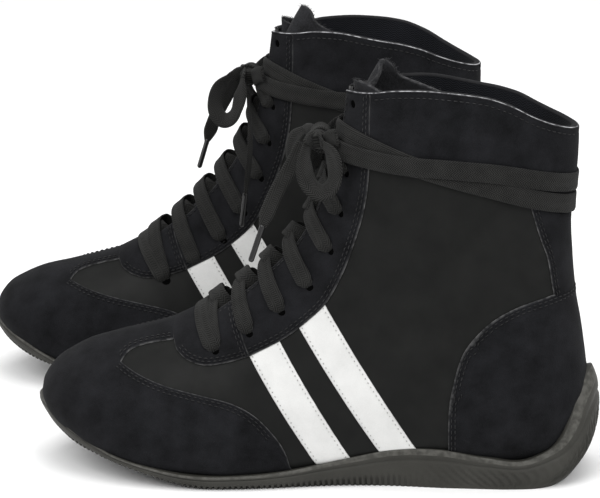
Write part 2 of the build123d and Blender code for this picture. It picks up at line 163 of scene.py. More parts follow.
BASE_TOP, LINING_TOP = -1.35, -4.0     # heights of the smooth layer and the lining over the skin
LACE_WIDTH, LACE_THICK = 9.5, 1.3
LACE_DIP, DIP_RUN = 3.4, 1.5           # how the lace sinks into its hole
TIP_START = 13.95       # fan angle from which the toe end rounds off
TIP_CAP = 0.86          # degrees of fan over which it closes
U_SCALE, V_SCALE = 90.0, 3.8


def spline_slopes(xs, ys):
    h = np.diff(xs)
    d = np.diff(ys) / h
    m = np.concatenate([[d[0]], np.zeros(len(xs) - 2), [d[-1]]])
    for i in range(1, len(xs) - 1):
        if d[i - 1] * d[i] > 0:
            w1, w2 = 2 * h[i] + h[i - 1], h[i] + 2 * h[i - 1]
            m[i] = (w1 + w2) / (w1 / d[i - 1] + w2 / d[i])
    return m


class Smooth:
    """Monotone cubic interpolation, for arrays."""

    def __init__(self, xs, ys):
        order = np.argsort(xs)
        self.x, self.y = np.asarray(xs, float)[order], np.asarray(ys, float)[order]
        self.m = spline_slopes(self.x, self.y)

    def __call__(self, x):
        x = np.clip(x, self.x[0], self.x[-1])
        i = np.clip(np.searchsorted(self.x, x, side="right") - 1, 0, len(self.x) - 2)
        h = self.x[i + 1] - self.x[i]
        t = (x - self.x[i]) / h
        return ((1 + 2 * t) * (1 - t) ** 2 * self.y[i] + t * (1 - t) ** 2 * h * self.m[i]
                + t * t * (3 - 2 * t) * self.y[i + 1] - t * t * (1 - t) * h * self.m[i + 1])


def polar(s, z):
    return (np.degrees(np.arctan2(PIVOT_S - np.asarray(s, float), PIVOT_Z - np.asarray(z, float))),
            np.hypot(PIVOT_S - np.asarray(s, float), PIVOT_Z - np.asarray(z, float)))


FRONT = Smooth(*polar(*zip(*FRONT_LINE)))
BACK = Smooth(*polar(*zip(*BACK_LINE)))
OUTER, INNER, WIDEST, ROUND_FRONT, ROUND_BACK, SHIFT = [
    Smooth(STATIONS[:, 0], STATIONS[:, k]) for k in range(1, 7)]
FIRST_ANGLE = STATIONS[0, 0]


def waves(s, y, z):
    """Soft unevenness of the stuffed upper, millimetres outward."""
    low = (0.34 * np.sin(s / 17.0 + y / 26.0 + 1.3) * np.sin(z / 21.0 + 0.4)
           + 0.22 * np.sin(s / 9.5 - z / 13.0 + y / 15.0) + 0.16 * np.sin((s + z) / 6.3 + y / 9.0))
    dents = (0.75 * bell(s, 62, 20) * bell(z, 128, 15) + 0.6 * bell(s, 96, 13) * bell(z, 98, 20)
             - 0.8 * bell(s, 80, 12) * bell(z, 186, 15))
    crease = 0.35 * np.sin((s - 0.75 * z) / 4.4) * bell(s, 176, 17) * bell(z, 36, 22)
    return low * (0.45 + 0.75 * above(z, 95, 14)) - dents + crease


def unwrapped(share):
    """Shares above 1 are the outer side of a piece that crosses the back."""
    return np.where(share > 1, share - 2, share)


def skin(angle, share, offset):
    """Points of the upper (s, y, z): angle in the fan, share around (0 front, negative outer)."""
    angle, share, offset = np.broadcast_arrays(
        np.asarray(angle, float), np.asarray(share, float), np.asarray(offset, float))
    share = unwrapped(share)
    a = np.maximum(angle, FIRST_ANGLE)
    closing = np.sqrt(np.clip(1 - (np.maximum(TIP_START - angle, 0) / TIP_CAP) ** 2, 1e-4, 1))
    front, back = FRONT(a), BACK(a)
    half_depth = (back - front) / 2 * closing
    half_depth = half_depth * np.exp(np.clip(offset / np.maximum(half_depth, 0.4), -6, 1.2))
    middle = (front + back) / 2
    turn = np.abs(share) * math.pi
    c = np.abs(np.cos(turn))
    sn = np.abs(np.sin(turn))
    wide, rf, rb = WIDEST(a), ROUND_FRONT(a), ROUND_BACK(a)
    fore = turn <= math.pi / 2
    depth = np.where(fore, wide * (1 - c ** rf), wide + (1 - wide) * c ** rb)
    side = np.where(fore, sn ** rf, sn ** rb)
    half = np.where(share < 0, OUTER(a), INNER(a)) * closing
    half = half * np.exp(np.clip(offset / np.maximum(half, 0.4), -6, 1.2))
    y = np.sign(share) * half * side + SHIFT(a)
    r = middle + half_depth * (2 * depth - 1)
    toe_turn = np.degrees(offset / 245.0) * np.clip(1 - (angle - FIRST_ANGLE) / 12.0, 0, 1)
    t = np.radians(angle - toe_turn)
    return np.stack([PIVOT_S - r * np.sin(t), y, PIVOT_Z - r * np.cos(t)], -1)


def skin_frame(angle, share):
    """Point and outward unit normal of the plain skin."""
    angle, share = np.asarray(angle, float), np.asarray(share, float)
    p = skin(angle, share, 0.0)
    da = skin(angle + 0.25, share, 0.0) - skin(angle - 0.25, share, 0.0)
    ds = skin(angle, share + 0.004, 0.0) - skin(angle, share - 0.004, 0.0)
    n = unit(np.cross(da, ds))
    centre = skin(angle, 0.0 * share, 0.0) * 0.5 + skin(angle, 0.0 * share + 1.0, 0.0) * 0.5
    flip = np.sign(((p - centre) * n).sum(-1, keepdims=True))
    return p, n * np.where(flip == 0, 1, flip)


def surface(uv, offset):
    """Flat panel coordinates (millimetres) to a point outside the skin by offset."""
    uv = np.asarray(uv, float)
    share, angle = uv[..., 0] / U_SCALE, uv[..., 1] / V_SCALE
    p, n = skin_frame(angle, share)
    lift = np.asarray(offset, float) + waves(p[..., 0], p[..., 1], p[..., 2])
    return skin(angle, share, 0.0) + n * lift[..., None]


def share_at(angle, r):
    """Share (0..1) where the section at angle reaches distance r from the fan axis."""
    front, back, wide = FRONT(angle), BACK(angle), WIDEST(angle)
    t = np.clip((r - front) / (back - front), 0, 1)
    fore = np.clip(1 - t / wide, 0, 1) ** (1 / ROUND_FRONT(angle))
    aft = np.clip((t - wide) / (1 - wide), 0, 1) ** (1 / ROUND_BACK(angle))
    turn = np.where(t <= wide, np.arccos(np.clip(fore, 0, 1)), math.pi - np.arccos(np.clip(aft, 0, 1)))
    return turn / math.pi


def dense(points, step=1.4, rounded=True):
    """Points every step millimetres along a smooth line through the given ones."""
    p = np.asarray(points, float)
    if rounded and len(p) > 2:
        ext = np.vstack([2 * p[0] - p[1], p, 2 * p[-1] - p[-2]])
        out = []
        for i in range(1, len(ext) - 2):
            t = np.linspace(0, 1, 12, endpoint=False)[:, None]
            a, b, c, d = ext[i - 1:i + 3]
            out.append(0.5 * (2 * b + (c - a) * t + (2 * a - 5 * b + 4 * c - d) * t ** 2
                              + (3 * b - a - 3 * c + d) * t ** 3))
        p = np.vstack(out + [p[-1:]])
    length = run_along(p)
    n = max(int(round(length[-1] / step)), 1)
    at = np.linspace(0, length[-1], n + 1)
    return np.stack([np.interp(at, length, p[:, k]) for k in range(p.shape[1])], -1)


def uv_side(points, side, wrap=False, rounded=True, step=1.4):
    """Side-view line (s, z) to panel coordinates on side -1 (outer) or +1 (inner)."""
    p = dense(points, step, rounded)
    angle, r = polar(p[:, 0], p[:, 1])
    share = share_at(np.maximum(angle, FIRST_ANGLE), r) * side
    if wrap and side < 0:
        share = share + 2
    return np.stack([share * U_SCALE, angle * V_SCALE], -1)


def uv_y(angle, y):
    """Panel coordinates of the place near the front where the skin is y from the middle."""
    angle, y = np.asarray(angle, float), np.asarray(y, float)
    d = y - SHIFT(angle)
    half = np.where(d < 0, OUTER(angle), INNER(angle))
    share = np.arcsin(np.clip(np.abs(d) / half, 0, 1) ** (1 / ROUND_FRONT(angle))) / math.pi
    return np.stack([np.sign(d) * share * U_SCALE, angle * V_SCALE], -1)


def mirrored(uv):
    """The same line on the other side of the boot."""
    return uv * np.array([-1.0, 1.0])


# ---- mesh building
def make_mesh(name, boot, verts, faces, mat, uv=None, edge=None, closed=False, outward=None):
    """Mesh object from boot points (millimetres), placed in the row frame."""
    mesh = bpy.data.meshes.new(name)
    mesh.from_pydata(world(verts, boot).tolist(), [], [tuple(int(i) for i in f) for f in faces])
    loops = np.zeros(len(mesh.loops), np.int32)
    mesh.loops.foreach_get("vertex_index", loops)
    if uv is None:
        uv = verts[:, [0, 2]]
    layer = mesh.uv_layers.new(name="flat")
    layer.data.foreach_set("uv", (np.asarray(uv, float)[loops] / 100).ravel())
    if edge is not None:
        attribute = mesh.attributes.new("edge", "FLOAT", "POINT")
        attribute.data.foreach_set("value", np.asarray(edge, np.float32))
    mesh.polygons.foreach_set("use_smooth", [True] * len(mesh.polygons))
    if outward is not None:
        probe = mesh.polygons[len(mesh.polygons) // 3]
        s, y, z = outward[list(probe.vertices)].mean(0)
        if probe.normal.dot(Vector((-s, y if boot == "left" else -y, z))) < 0:
            mesh.flip_normals()
    if closed:
        bm = bmesh.new()
        bm.from_mesh(mesh)
        bmesh.ops.recalc_face_normals(bm, faces=bm.faces)
        bm.to_mesh(mesh)
        bm.free()
    mesh.materials.append(mat)
    mesh.update()
    obj = bpy.data.objects.new(name, mesh)
    bpy.context.scene.collection.objects.link(obj)
    return obj


def finish_piece(obj, boot, node=None, body="boot"):
    """The piece rides with its body and stands for its CAD node, which it hides."""
    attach(obj, f"{boot}_{body}")
    if node:
        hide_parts(f"{boot}_{node}")


def inside(points, ring):
    """Which points lie inside a closed ring."""
    a, b = ring, np.roll(ring, -1, axis=0)
    x, y = points[:, 0:1], points[:, 1:2]
    crosses = (a[:, 1] > y) != (b[:, 1] > y)
    dy = np.where(b[:, 1] == a[:, 1], 1e-9, b[:, 1] - a[:, 1])
    hit = x < (b[:, 0] - a[:, 0]) * (y - a[:, 1]) / dy + a[:, 0]
    return (crosses & hit).sum(1) % 2 == 1


def edge_distance(points, rings):
    """Distance of each point from the nearest of the closed rings."""
    best = np.full(len(points), 1e9)
    for ring in rings:
        a, b = ring, np.roll(ring, -1, axis=0)
        d = b - a
        length = np.maximum((d ** 2).sum(1), 1e-9)
        for k in range(0, len(points), 600):
            q = points[k:k + 600, None, :]
            t = np.clip(((q - a) * d).sum(2) / length, 0, 1)
            gap = np.linalg.norm(q - (a + t[..., None] * d), axis=2).min(1)
            best[k:k + 600] = np.minimum(best[k:k + 600], gap)
    return best


def clean_ring(points, least=0.35):
    """The ring without points that are closer together than least."""
    kept = [points[0]]
    for p in points[1:]:
        if np.hypot(*(p - kept[-1])) > least:
            kept.append(p)
    if np.hypot(*(kept[0] - kept[-1])) < least:
        kept.pop()
    return np.array(kept)


def fill(outline, holes=(), grid=2.2):
    """Triangles inside a closed outline, with its holes left open."""
    outline = clean_ring(outline)
    rings = [outline] + list(holes)
    low, high = outline.min(0), outline.max(0)
    rows = np.arange(low[1], high[1], grid * 0.87)
    columns = np.arange(low[0], high[0], grid)
    points = np.vstack([np.stack([columns + (k % 2) * grid / 2, np.full(len(columns), v)], -1)
                        for k, v in enumerate(rows)])
    points = points[inside(points, outline)]
    inner = []
    for ring in rings:
        t = np.roll(ring, -1, axis=0) - np.roll(ring, 1, axis=0)
        n = np.stack([-t[:, 1], t[:, 0]], -1) / np.maximum(np.hypot(*t.T), 1e-9)[:, None]
        for step in (0.45, 1.0):
            inner += [ring + n * step, ring - n * step]
    inner = np.vstack(inner)
    inner = inner[inside(inner, outline)]
    inner = inner[edge_distance(inner, rings) > 0.38]
    points = points[edge_distance(points, rings) > 1.7]
    points = np.vstack([points, inner])
    for hole in holes:
        points = points[~inside(points, hole)]
    verts = [Vector(p) for r in rings for p in r] + [Vector(p) for p in points]
    edges, start = [], 0
    for ring in rings:
        edges += [(start + i, start + (i + 1) % len(ring)) for i in range(len(ring))]
        start += len(ring)
    out = delaunay_2d_cdt(verts, edges, [], 0, 1e-3)
    uv = np.array([tuple(v) for v in out[0]])
    faces = np.array(out[2])
    centre = uv[faces].mean(1)
    keep = inside(centre, outline)
    for hole in holes:
        keep &= ~inside(centre, hole)
    faces = faces[keep]
    used = np.unique(faces)
    number = np.full(len(uv), -1)
    number[used] = np.arange(len(used))
    return uv[used], number[faces], rings


def panel(name, boot, outline, mat, top=0.0, thick=1.4, puff=0.3, holes=(), grid=2.2, roll=0.35):
    """A cut piece of sheet material on the upper, with thickness, rounded edges and punched holes."""
    uv, faces, rings = fill(outline, holes, grid)
    shown = edge_distance(uv, rings[:1])
    gap = edge_distance(uv, rings)
    upper = surface(uv, top + puff * (1 - np.exp(-gap / 2.6)) - roll * np.exp(-gap / 0.35))
    edges = {(int(f[i]), int(f[(i + 1) % 3])): True for f in faces for i in range(3)}
    border = [(a, b) for a, b in edges if (b, a) not in edges]
    rim = sorted({v for e in border for v in e})
    below = {v: len(uv) + k for k, v in enumerate(rim)}
    walls = [(a, below[a], below[b], b) for a, b in border]
    _, normal = skin_frame(uv[:, 1] / V_SCALE, unwrapped(uv[:, 0] / U_SCALE))
    # Walls on the outline take the edge tint: the raw cut edge and partly a painted highlight
    raw = np.where(shown[rim] < 0.1, -1.0, 9.0)     # hole walls stay dark
    return make_mesh(name, boot, np.vstack([upper, surface(uv[rim], np.full(len(rim), top - thick))]),
                     list(map(tuple, faces)) + walls, mat, uv=np.vstack([uv, uv[rim]]),
                     edge=np.concatenate([shown, raw]), outward=np.vstack([normal, normal[rim]]))


def jacobian(uv):
    """How the surface point moves along either panel coordinate."""
    h = 0.2
    du = (surface(uv + [h, 0], 0.0) - surface(uv - [h, 0], 0.0)) / (2 * h)
    dv = (surface(uv + [0, h], 0.0) - surface(uv - [0, h], 0.0)) / (2 * h)
    return du, dv


def inset(line, distance, toward):
    """The panel line moved that many millimetres along the surface, to the side where toward lies."""
    du, dv = jacobian(line)
    t = np.gradient(line, axis=0)
    tangent = unit(du * t[:, 0:1] + dv * t[:, 1:2])
    across = np.cross(unit(np.cross(du, dv)), tangent)
    a, b, c = (du * du).sum(1), (du * dv).sum(1), (dv * dv).sum(1)
    p, q = (du * across).sum(1), (dv * across).sum(1)
    det = np.maximum(a * c - b * b, 1e-9)
    step = np.stack([(c * p - b * q) / det, (a * q - b * p) / det], -1)
    side = np.sign(((np.asarray(toward) - line) * step).sum(1).sum())
    return line + step * distance * (side or 1)


def grid_faces(rows, columns, around=False, start=0):
    """Quads of a grid of vertices numbered row by row; around joins the last column to the first."""
    return [(start + i * columns + j, start + i * columns + (j + 1) % columns,
             start + (i + 1) * columns + (j + 1) % columns, start + (i + 1) * columns + j)
            for i in range(rows - 1) for j in range(columns if around else columns - 1)]


def rod_faces(rings, sides, start=0):
    last = start + (rings - 1) * sides
    return (grid_faces(rings, sides, True, start)
            + [tuple(range(start, start + sides))[::-1], tuple(range(last, last + sides))])


def slab(top, low):
    """Closed sheet between two grids of points."""
    n, k = top.shape[:2]
    m = n * k
    faces = grid_faces(n, k)
    faces += [tuple(m + v for v in face[::-1]) for face in faces]
    faces += [(a, a + k, m + a + k, m + a) for i in range(n - 1) for a in (i * k, i * k + k - 1)]
    faces += [(a, a + 1, m + a + 1, m + a) for j in range(k - 1) for a in (j, m - k + j)]
    return np.vstack([top.reshape(-1, 3), low.reshape(-1, 3)]), faces


def rod(path, along, side, radii, sides, start=0):
    """Rings around a path, each with its radius; side is square to along."""
    turn = np.arange(sides) * 2 * math.pi / sides
    other = np.cross(along, side)
    ring_shape = (side[..., None, :] * np.cos(turn)[:, None] + other[..., None, :] * np.sin(turn)[:, None])
    verts = path[:, None, :] + ring_shape * radii[:, None, None]
    return verts.reshape(-1, 3), rod_faces(len(path), sides, start)


def tube_mesh(paths, radius, sides=6):
    """Vertices and faces of round rods, drawn in at both ends, along several short paths."""
    verts, faces, start = [], [], 0
    for path in paths:
        along = unit(np.gradient(path, axis=0))
        up = [0.3, 0.2, 1.0] if abs(along[0][2]) < 0.9 else [1.0, 0.2, 0.1]
        radii = np.full(len(path), radius)
        radii[[0, -1]] *= 0.45
        points, more = rod(path, along, unit(np.cross(along, up)), radii, sides, start)
        verts.append(points)
        faces += more
        start += len(points)
    return np.vstack(verts), faces


def stitch(line, height, length=2.1, gap=1.0):
    """Paths of thread stitches along a panel line, lying height above the skin."""
    run = run_along(surface(line, 0.0))
    paths = []
    for s0 in np.arange(0.8, run[-1] - length, length + gap):
        at = s0 + np.array([0, 0.3, 0.7, 1.0]) * length
        uv = np.stack([np.interp(at, run, line[:, 0]), np.interp(at, run, line[:, 1])], -1)
        paths.append(surface(uv, height + np.array([-0.25, 0.12, 0.12, -0.25])))
    return paths


def stitch_rows(line, toward, height, insets=(1.7, 3.5)):
    return [path for d in insets for path in stitch(inset(line, d, np.array(toward)), height)]


def ribbon_mesh(path, across, width, thick, crown=0.25):
    """Flat lace along path (boot points); across is its width direction."""
    path = np.asarray(path, float)
    n = len(path)
    width = np.broadcast_to(np.asarray(width, float), (n,))
    along = unit(np.gradient(path, axis=0))
    across = np.broadcast_to(np.asarray(across, float), (n, 3))
    across = unit(across - along * (across * along).sum(1, keepdims=True))
    normal = np.cross(along, across)
    x = np.linspace(-1, 1, 9)
    half = thick / 2 * np.sqrt(np.clip(1 - np.abs(x) ** 6, 0.05, 1))
    hump = crown * (1 - x ** 2)
    wide = np.concatenate([x, x[::-1]])
    high = np.concatenate([hump + half, (hump - half)[::-1]])
    verts = (path[:, None, :] + across[:, None, :] * (wide[None, :, None] * width[:, None, None] / 2)
             + normal[:, None, :] * high[None, :, None]).reshape(-1, 3)
    k = len(wide)
    uv = np.stack([np.tile(wide, n) * np.repeat(width, k) / 2, np.repeat(run_along(path), k)], -1)
    return verts, rod_faces(n, k), uv


def joined(parts):
    """Several (vertices, faces, flat coordinates) as one mesh."""
    verts, faces, uvs, start = [], [], [], 0
    for v, f, uv in parts:
        verts.append(v)
        uvs.append(uv)
        faces += [tuple(i + start for i in face) for face in f]
        start += len(v)
    return np.vstack(verts), faces, np.vstack(uvs)


# ---- materials
def shader(name):
    """New material with its nodes, links and surface shader."""
    mat = bpy.data.materials.new(name)
    mat.use_nodes = True
    return mat, mat.node_tree.nodes, mat.node_tree.links, mat.node_tree.nodes["Principled BSDF"]


def add(nodes, kind, **values):
    node = nodes.new(kind)
    for key, value in values.items():
        if key in node.inputs:
            node.inputs[key].default_value = value
        else:
            setattr(node, key, value)
    return node


def math_node(nodes, links, operation, *values):
    node = nodes.new("ShaderNodeMath")
    node.operation = operation
    for socket, value in zip(node.inputs, values):
        if isinstance(value, (int, float)):
            socket.default_value = value
        else:
            links.new(value, socket)
    return node.outputs[0]


def map_range(nodes, links, value, from_min, from_max, to_min, to_max):
    node = nodes.new("ShaderNodeMapRange")
    for key, number in (("From Min", from_min), ("From Max", from_max), ("To Min", to_min),
                        ("To Max", to_max)):
        node.inputs[key].default_value = number
    links.new(value, node.inputs["Value"])
    return node.outputs["Result"]


def chevron_ribs(nodes, links, uv, period, chevron):
    """Woven ribs in zigzag rows, 0 to 1."""
    split = add(nodes, "ShaderNodeSeparateXYZ")
    links.new(uv, split.inputs[0])
    x, y = [math_node(nodes, links, "MULTIPLY", split.outputs[k], 100.0) for k in (0, 1)]
    shifted = math_node(nodes, links, "ADD", x, 50 * chevron)
    zig = math_node(nodes, links, "PINGPONG", shifted, chevron)
    slanted = math_node(nodes, links, "ADD", y, math_node(nodes, links, "MULTIPLY", zig, 1.1))
    phase = math_node(nodes, links, "MULTIPLY", slanted, 2 * math.pi / period)
    return math_node(nodes, links, "MULTIPLY_ADD", math_node(nodes, links, "SINE", phase), 0.5, 0.5)


def surface_material(name, dark, light, rough=0.8, grain=900.0, blotch=45.0, bump=0.25,
                     bump_size=0.0004, edge=None, sheen=0.0, weave=None, spec=0.5, coat=0.0,
                     wear=0.0):
    """Cloth, leather or rubber: two-scale colour variation, relief, a tint along marked edges and worn
    places. On the suede and smooth panels that tint is the raw cut edge and partly a painted highlight,
    broken by noise; on the binding it is a painted highlight.
    """
    mat, nodes, links, bsdf = shader(name)

    def calculate(*args):
        return math_node(nodes, links, *args)

    where = add(nodes, "ShaderNodeTexCoord")
    fine = add(nodes, "ShaderNodeTexNoise", Scale=grain, Detail=6.0, Roughness=0.65)
    broad = add(nodes, "ShaderNodeTexNoise", Scale=blotch, Detail=4.0, Roughness=0.6)
    for texture in (fine, broad):
        links.new(where.outputs["Object"], texture.inputs["Vector"])
    blend = calculate("ADD", calculate("MULTIPLY", fine.outputs["Fac"], 0.55),
                      calculate("MULTIPLY", broad.outputs["Fac"], 0.75))
    blend = calculate("SUBTRACT", blend, 0.18)
    relief = fine.outputs["Fac"]
    if weave:
        rib = chevron_ribs(nodes, links, where.outputs["UV"], *weave)
        relief = calculate("ADD", calculate("MULTIPLY", relief, 0.35), rib)
        blend = calculate("ADD", calculate("MULTIPLY", blend, 0.55), calculate("MULTIPLY", rib, 0.5))
    ramp = add(nodes, "ShaderNodeValToRGB")
    for stop, place, shade in zip(ramp.color_ramp.elements, (0.25, 0.8), (dark, light)):
        stop.position, stop.color = place, (*shade, 1)
    links.new(blend, ramp.inputs["Fac"])
    colour = ramp.outputs["Color"]
    # Edge tint from the edge attribute, broken into dashes by noise: on the cut panels the raw edge and
    # partly a painted highlight, on the binding a painted highlight
    if edge:
        tag = add(nodes, "ShaderNodeAttribute", attribute_name="edge")
        patchy = add(nodes, "ShaderNodeTexNoise", Scale=330.0, Detail=3.0)
        links.new(where.outputs["Object"], patchy.inputs["Vector"])
        edge_tint_and_painted_highlight = calculate("MULTIPLY", map_range(nodes, links, tag.outputs["Fac"], -0.2, 0.34, 1, 0),
                               map_range(nodes, links, patchy.outputs["Fac"], 0.38, 0.62, 0.15, 1))
        mix = add(nodes, "ShaderNodeMix", data_type="RGBA")
        links.new(edge_tint_and_painted_highlight, mix.inputs["Factor"])
        links.new(colour, mix.inputs["A"])
        mix.inputs["B"].default_value = (*edge, 1)
        colour = mix.outputs["Result"]
    links.new(colour, bsdf.inputs["Base Color"])
    for key, value in (("Roughness", rough), ("Specular IOR Level", spec), ("Sheen Weight", sheen),
                       ("Sheen Roughness", 0.6), ("Coat Weight", coat), ("Coat Roughness", 0.35)):
        bsdf.inputs[key].default_value = value
    if wear:
        shine = map_range(nodes, links, broad.outputs["Fac"], 0.35, 0.7, rough, max(rough - wear, 0.15))
        links.new(shine, bsdf.inputs["Roughness"])
    raised = add(nodes, "ShaderNodeBump", Strength=bump, Distance=bump_size)
    links.new(relief, raised.inputs["Height"])
    links.new(raised.outputs["Normal"], bsdf.inputs["Normal"])
    return mat


# The suede's light-grey edge colour is its raw cut edge and partly a painted highlight
SUEDE = surface_material("suede", (0.0028, 0.0029, 0.0033), (0.0135, 0.0138, 0.0158), rough=0.95,
                         grain=1700, blotch=75, bump=0.6, edge=(0.10, 0.10, 0.10), sheen=0.02,
                         spec=0.05)
# The smooth synthetic's lighter edge colour is its raw cut edge and partly a painted highlight
SMOOTH = surface_material("smooth_synthetic", (0.0048, 0.0050, 0.0048), (0.0105, 0.0108, 0.0102),
                          rough=0.52, grain=2600, blotch=60, bump=0.2, edge=(0.05, 0.05, 0.05),
                          wear=0.12, spec=0.08)
WHITE = surface_material("white_synthetic", (0.46, 0.46, 0.452), (0.60, 0.60, 0.59), rough=0.5,
                         grain=2200, blotch=60, bump=0.12, edge=(0.20, 0.20, 0.195), wear=0.1)
LACE = surface_material("lace", (0.0016, 0.0016, 0.0016), (0.0235, 0.0235, 0.0222), rough=0.88,
                        grain=2500, blotch=120, bump=0.8, bump_size=0.0004, weave=(1.25, 2.3),
                        sheen=0.04, spec=0.08)
RUBBER = surface_material("outsole_rubber", (0.021, 0.0205, 0.0175), (0.040, 0.039, 0.034), rough=0.6,
                          grain=1800, blotch=35, bump=0.16, edge=(0.085, 0.083, 0.075), wear=0.12,
                          spec=0.2)
TONGUE_SUEDE = surface_material("tongue_suede", (0.0030, 0.0030, 0.0034), (0.027, 0.0275, 0.0305),
                                rough=0.95, grain=900, blotch=110, bump=0.9, bump_size=0.0007,
                                edge=(0.07, 0.07, 0.072), sheen=0.06, spec=0.05)
LINING_CLOTH = surface_material("lining_fabric", (0.0025, 0.0028, 0.0036), (0.0125, 0.0135, 0.017),
                                rough=0.92, grain=1600, bump=0.6, weave=(0.9, 0.9), sheen=0.04,
                                spec=0.05)
FOOTBED_CLOTH = surface_material("footbed_fabric", (0.005, 0.005, 0.006), (0.019, 0.019, 0.023),
                                 rough=0.9, grain=1500, bump=0.5, weave=(1.1, 1.1), sheen=0.05,
                                 spec=0.06)
# The binding's light edge colour is a painted highlight along the top of the rolled edge
BINDING = surface_material("binding", (0.0035, 0.0035, 0.004), (0.015, 0.015, 0.0165), rough=0.75,
                           grain=1900, blotch=90, bump=0.4, spec=0.1, edge=(0.32, 0.32, 0.33))
THREAD = surface_material("thread", (0.004, 0.004, 0.004), (0.030, 0.030, 0.031), rough=0.6,
                          grain=4000, bump=0.3, spec=0.15)
WHITE_THREAD = surface_material("white_thread", (0.20, 0.20, 0.19), (0.36, 0.36, 0.35), rough=0.7,
                                grain=4000, bump=0.3)
AGLET = surface_material("aglet", (0.004, 0.004, 0.0042), (0.012, 0.012, 0.0125), rough=0.25,
                         grain=1500, blotch=200, bump=0.1, coat=0.25, spec=0.3)
# Painted shade for the eyelet holes
EYELET_SHADE_PAINT = surface_material("eyelet_shadow", (0.0006, 0.0006, 0.0006), (0.002, 0.002, 0.002), rough=1.0,
                        spec=0.02)
FOAM = surface_material("midsole_foam", (0.03, 0.03, 0.03), (0.06, 0.06, 0.058), rough=0.95,
                        grain=2500, bump=0.5)
BOARD = surface_material("insole_board", (0.16, 0.12, 0.08), (0.26, 0.21, 0.15), rough=0.95,
                         grain=1300, bump=0.4)
STIFF = surface_material("stiffener", (0.20, 0.19, 0.17), (0.33, 0.31, 0.28), rough=0.9, grain=900,
                         bump=0.4, weave=(1.6, 50))
FUZZ = surface_material("raw_fibre", (0.02, 0.02, 0.021), (0.085, 0.085, 0.088), rough=0.95,
                        grain=3000, spec=0.05)

# ---- outlines of the panels
SHORT_OF_BACK = 0.985                   # share at which toe pieces end under the sole
TOE_END = TIP_START - TIP_CAP * SHORT_OF_BACK
GAP_START, JOIN_ANGLE, TOP_ANGLE = 36.0, 41.2, 71.6     # fan angles along the lace gap
BACK_TOP, BACK_LOW = [float(polar(s, z)[0]) for s, z in ((8.6, 182.4), (12.5, 17.5))]


def gap_half(angle):
    """Half width of the lace gap."""
    z = PIVOT_Z - FRONT(angle) * np.cos(np.radians(angle))
    return GAP_LOW + (GAP_TOP - GAP_LOW) * (z - 60) / 155


def gap_edge(side, low, high):
    angle = np.linspace(low, high, max(int((high - low) * 2.6), 2))
    return uv_y(angle, side * gap_half(angle))


def straight(a, b, step=1.4):
    return dense(np.array([a, b]), step, rounded=False)


def side_line(line, side, s_from, s_to, spacing, wrap, drop=0.0):
    """Part of a long side-view line, from s_from to s_to."""
    s = np.linspace(s_from, s_to, max(int(abs(s_to - s_from) / spacing), 3))
    z = Smooth(*zip(*line))(s) - drop * bell(s, 58, 24)
    return uv_side(np.stack([s, z], -1), side, wrap, rounded=False)


def feather(side, s_from, s_to, wrap=False):
    """Line where the upper meets the sole."""
    return side_line(FEATHER, side, s_from, s_to, 2.5, wrap)


def top_line(side, s_from, s_to, wrap=False):
    """Top edge of the shaft, a little lower on the inner side."""
    return side_line(TOPLINE, side, s_from, s_to, 1.5, wrap, 3.6 if side > 0 else 0.0)


def ring(*lines):
    return clean_ring(np.vstack(lines))


def limited(uv):
    return np.clip(uv, [-SHORT_OF_BACK * U_SCALE, -np.inf], [SHORT_OF_BACK * U_SCALE, np.inf])


WINDOW_TOP = np.array([(216, 68.8, 14.3), (224, 66.6, 13.3), (232, 64.4, 12.9), (237, 62.5, 14),
                       (240.2, 61, 16.6)])
window_angle = polar(WINDOW_TOP[:, 0], WINDOW_TOP[:, 1])[0]
toe_strip_edge = uv_y(window_angle, -WINDOW_TOP[:, 2])
mud = uv_side(MUDGUARD_LINE[:-2] + [(154, 18), (151.5, 9)], -1)
toe_feather = limited(feather(-1, 151, 287))
toe_low = np.vstack([toe_feather, [[toe_feather[-1][0], TOE_END * V_SCALE]]])
strip_line = dense(np.vstack([toe_strip_edge, mud[:1]]), 1.4)
toe_half = np.vstack([strip_line, mud[1:], toe_low])
tip_line = straight(toe_low[-1], mirrored(toe_low)[-1], 3.0)[1:-1]
throat_side = uv_side(THROAT_FRONT[1:], -1)
throat_nose = np.array([[0.0, float(polar(216.6, 71.6)[0]) * V_SCALE]])
nose_arc = dense(np.vstack([throat_side[0:1], (throat_side[0:1] + throat_nose) / 2 * [1, 0.997],
                            throat_nose]), 1.4)
TOE_OUTLINE = ring(toe_half, tip_line, mirrored(toe_half)[::-1],
                   straight(mirrored(toe_half)[0] + [0, 14], toe_half[0] + [0, 14]))
join = straight(throat_side[-1], gap_edge(-1, JOIN_ANGLE, JOIN_ANGLE + 0.4)[0])
gap_low = gap_edge(-1, GAP_START, JOIN_ANGLE)
THROAT_HALF = np.vstack([nose_arc[::-1], throat_side[1:], join[1:], gap_low[::-1]])
THROAT_OUTLINE = ring(THROAT_HALF, straight(gap_low[0], mirrored(gap_low)[0])[1:-1],
                      mirrored(THROAT_HALF)[::-1])
seam = straight(gap_edge(-1, JOIN_ANGLE, JOIN_ANGLE + 0.4)[0], feather(-1, 137, 136)[0])
VAMP_HALF = np.vstack([gap_low, seam[1:], limited(feather(-1, 138, 287)), toe_low[-1:]])
VAMP_OUTLINE = ring(VAMP_HALF, tip_line, mirrored(VAMP_HALF)[::-1],
                    straight(mirrored(gap_low)[0], gap_low[0])[1:-1])


def quarter_outline(side):
    """Smooth side and shaft, from the lace gap to the back seam."""
    back = straight([side * U_SCALE, BACK_TOP * V_SCALE], [side * U_SCALE, BACK_LOW * V_SCALE])
    return ring(gap_edge(side, JOIN_ANGLE, TOP_ANGLE), top_line(side, 121, 9.5), back,
                feather(side, 14, 137), (seam * [-side, 1.0])[::-1])


def eyestay_outline(side):
    """Suede strip along the lace gap."""
    return ring(gap_edge(side, JOIN_ANGLE, TOP_ANGLE), top_line(side, 121, 112.2),
                uv_side(EYESTAY_REAR, side)[::-1], (join * [-side, 1.0])[1:])


